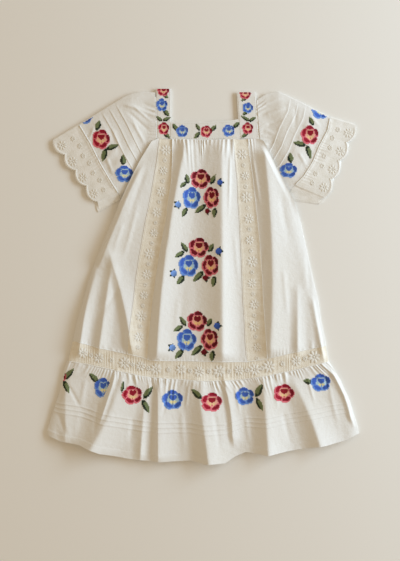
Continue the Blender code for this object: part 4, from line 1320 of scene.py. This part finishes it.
# The seams: fine piped edges along the lace, the band and the cuffs, a rolled
# seam down each side that joins front and back, and a rolled edge at the hem.
CORD_SIDES = 6
PIPING, PIPING_LIFT = 0.5, -0.1
HEADING, HEADING_LIFT = 0.55, 0.3
STRAP_SEAM, STRAP_SEAM_Z, STRAP_SEAM_OUT = 0.75, 2.8, 0.5
CUFF_SEAM, CUFF_SEAM_LIFT, CUFF_SEAM_OUT = 0.6, 0.45, 0.2
SIDE_ROLL, SIDE_ROLL_Z, SIDE_ROLL_IN = 1.3, 1.35, 0.9
SIDE_SEAM_TOP = 76
HEM_ROLL, HEM_ROLL_LIFT, HEM_SHARE = 0.5, -0.35, 0.996
RUNNING_STEP = 3.2
RUNNING_SIZE = (1.9, 0.5, 0.28)


def cord(name, path, radius):
    """A thin round cord along a path of points, with its ends closed."""
    along = unit(np.gradient(path, axis=0))
    aside = unit(np.cross(along, (0.0, 0.0, 1.0)))
    over = np.cross(aside, along)
    angle = np.linspace(0, 2 * np.pi, CORD_SIDES, endpoint=False)[None, :, None]
    rings = path[:, None] + radius * (np.cos(angle) * aside[:, None] + np.sin(angle) * over[:, None])
    index = np.arange(rings[..., 0].size).reshape(rings.shape[:2])
    index = np.concatenate([index, index[:, :1]], axis=1)
    first, last = rings[..., 0].size, rings[..., 0].size + 1
    start = np.stack([np.full(CORD_SIDES, first), index[0, :-1], index[0, 1:]], -1)
    end = np.stack([np.full(CORD_SIDES, last), index[-1, 1:], index[-1, :-1]], -1)
    faces = np.concatenate([grid_faces(index), start, end])
    points = np.concatenate([rings.reshape(-1, 3), path[:1], path[-1:]])
    return new_piece(name, points, outward(points, faces), *COTTON)


def raised(x, y, surface, lift):
    """Points of a line on a surface, lifted off it."""
    return xyz(x, y, surface(x, y) + lift)


for column in ("left_lace_out", "left_lace_in", "right_lace_in", "right_lace_out"):
    y = np.linspace(190, level(LACE_TOP, seam_x(column, -118)), 240)
    cord(column + "_piping", raised(seam_x(column, y), y, front_face, PIPING_LIFT), PIPING)

for name, line, ends in (("band_head", LACE_TOP, (-183, 173)), ("band_foot", LACE_FOOT, (-188, 174))):
    x = np.linspace(*ends, 280)
    cord(name, raised(x, level(line, x), front_height, HEADING_LIFT), HEADING)
x = np.linspace(-64, 79, 90)
cord("neck_seam", xyz(x, level(BAND_LINE, x), BAND_HEIGHT + PIPING_LIFT), PIPING)

for spec in STRAPS:
    y = np.linspace(STRAP_FOOT_Y, spec.shoulder_y - 12, 50)
    x = strap_x(spec, y, 0) + STRAP_SEAM_OUT * np.sign(spec.outer_foot)
    cord(spec.name + "_seam", xyz(x, y, STRAP_SEAM_Z), STRAP_SEAM)

for spec, owner in zip(EDGINGS, SLEEVES):
    s = np.linspace(0.02, 0.98, 90)
    seam = walk(owner.cuff, s) + CUFF_SEAM_OUT * away_from_body(spec.first, spec.last)
    seam_z = edging_height(owner, s, 0 * s) + CUFF_SEAM_LIFT
    cord(owner.name + "_cuff", np.column_stack([seam, seam_z]), CUFF_SEAM)

for side, body_line, foot, u, inward in (
    ("left", body_left, LACE_FOOT[0], 0.0, SIDE_ROLL_IN),
    ("right", body_right, LACE_FOOT[-1], 1.0, -SIDE_ROLL_IN),
):
    y = np.linspace(SIDE_SEAM_TOP, foot[1] + 0.5, 120)
    skirt_x, skirt_y = ruffle_point(np.full(60, u), np.linspace(0.01, 0.985, 60))
    x, y = np.concatenate([body_line(y), skirt_x]), np.concatenate([y, skirt_y])
    cord("side_seam_" + side, xyz(x + inward, y, SIDE_ROLL_Z), SIDE_ROLL)
u = np.linspace(0.004, 0.996, 420)
share = HEM_SHARE + 0 * u
x, y = ruffle_point(u, share)
rim = front_height(x, y) + ruffle_relief(u, share, x, y)
cord("hem_edge", xyz(x, y, rim + HEM_ROLL_LIFT), HEM_ROLL)


def running_stitches(name, surface, x, y):
    """Small even stitches along a line of places, as low domes of thread."""
    step_x, step_y = np.diff(x), np.diff(y)
    travelled = np.concatenate(([0], np.cumsum(np.hypot(step_x, step_y))))
    at = np.arange(RUNNING_STEP, travelled[-1] - 1, RUNNING_STEP)
    turn = np.interp(at, travelled[1:], np.unwrap(np.arctan2(step_y, step_x)))
    x, y = np.interp(at, travelled, x), np.interp(at, travelled, y)
    length, width, height = (np.full_like(x, size) for size in RUNNING_SIZE)
    new_piece(name, *domes(surface, x, y, turn, length, width, height, ring=6), pale_thread, "cotton")


u = np.linspace(0.01, 0.99, 400)
running_stitches("hem_stitches", on_ruffle, *ruffle_point(u, 1 - HEM_DEPTH / RUFFLE_LENGTH + 0 * u))
for number, share in enumerate((0.09, 0.91)):
    x = np.linspace(-44, 49, 60)
    running_stitches(
        f"neckband_stitches_{number}", SURFACES["band"], x, down_to(BAND_TOP, BAND_LINE, x, share),
    )
for spec in STRAPS:
    for side, share in (("outer", 0.08), ("inner", 0.92)):
        y = np.linspace(STRAP_FOOT_Y, spec.shoulder_y - 4, 50)
        running_stitches(f"{spec.name}_{side}_stitches", SURFACES[spec.name], strap_x(spec, y, share), y)
for spec in SLEEVES:
    s = np.linspace(0.06, 0.94, 80)
    place = sleeve_place(spec, s, 3.0 / sleeve_length(spec, s))
    running_stitches(spec.name + "_stitches", SURFACES[spec.name], *place.T)

# The floor, a soft light from the upper right, a little warm light from all
# round, and the camera straight above.
FLOOR = (0.89, 0.87, 0.83)
FLOOR_GRAIN = (0.90, 0.88, 0.84)
FLOOR_HALF = 12.0
FLOOR_Z = -0.0004
LIGHT_PLACE = (1.75, 0.46, 0.72)
LIGHT_SIZE = (2.0, 0.6)
LIGHT_POWER = 42.0
LIGHT_COLOUR = (0.67, 0.84, 1.0)
ROOM_COLOUR = (1.0, 0.80, 0.55, 1)
ROOM_STRENGTH = 0.49
CAMERA_PLACE = (-0.0042, -0.0063, 1.313)
CAMERA_LENS = 60


def floor_work(place):
    """A plain matt floor with a faint grain."""
    return (tint(noise(place, 5, 3), FLOOR, FLOOR_GRAIN),)


corners = [(FLOOR_HALF * x, FLOOR_HALF * y, FLOOR_Z) for x, y in ((-1, -1), (1, -1), (1, 1), (-1, 1))]
floor_mesh = bpy.data.meshes.new("floor")
floor_mesh.from_pydata(corners, [], [(0, 1, 2, 3)])
floor_mesh.materials.append(finish_of("pale_floor", 0.95, 0.0, floor_work))
floor = bpy.data.objects.new("floor", floor_mesh)
bpy.context.collection.objects.link(floor)

lamp = bpy.data.objects.new("window_light", bpy.data.lights.new("window_light", "AREA"))
lamp.data.energy = LIGHT_POWER
lamp.data.shape = "RECTANGLE"
lamp.data.size, lamp.data.size_y = LIGHT_SIZE
lamp.data.color = LIGHT_COLOUR
lamp.location = LIGHT_PLACE
lamp.rotation_mode = "QUATERNION"
lamp.rotation_quaternion = (-lamp.location).to_track_quat("-Z", "Y")
bpy.context.collection.objects.link(lamp)

world = bpy.data.worlds.new("soft_room")
world.use_nodes = True
background = world.node_tree.nodes["Background"].inputs
background["Color"].default_value = ROOM_COLOUR
background["Strength"].default_value = ROOM_STRENGTH
bpy.context.scene.world = world
bpy.context.scene.view_settings.view_transform = "Standard"

camera = bpy.data.objects.new("camera", bpy.data.cameras.new("camera"))
camera.data.lens = CAMERA_LENS
camera.location = CAMERA_PLACE
bpy.context.collection.objects.link(camera)
bpy.context.scene.camera = camera
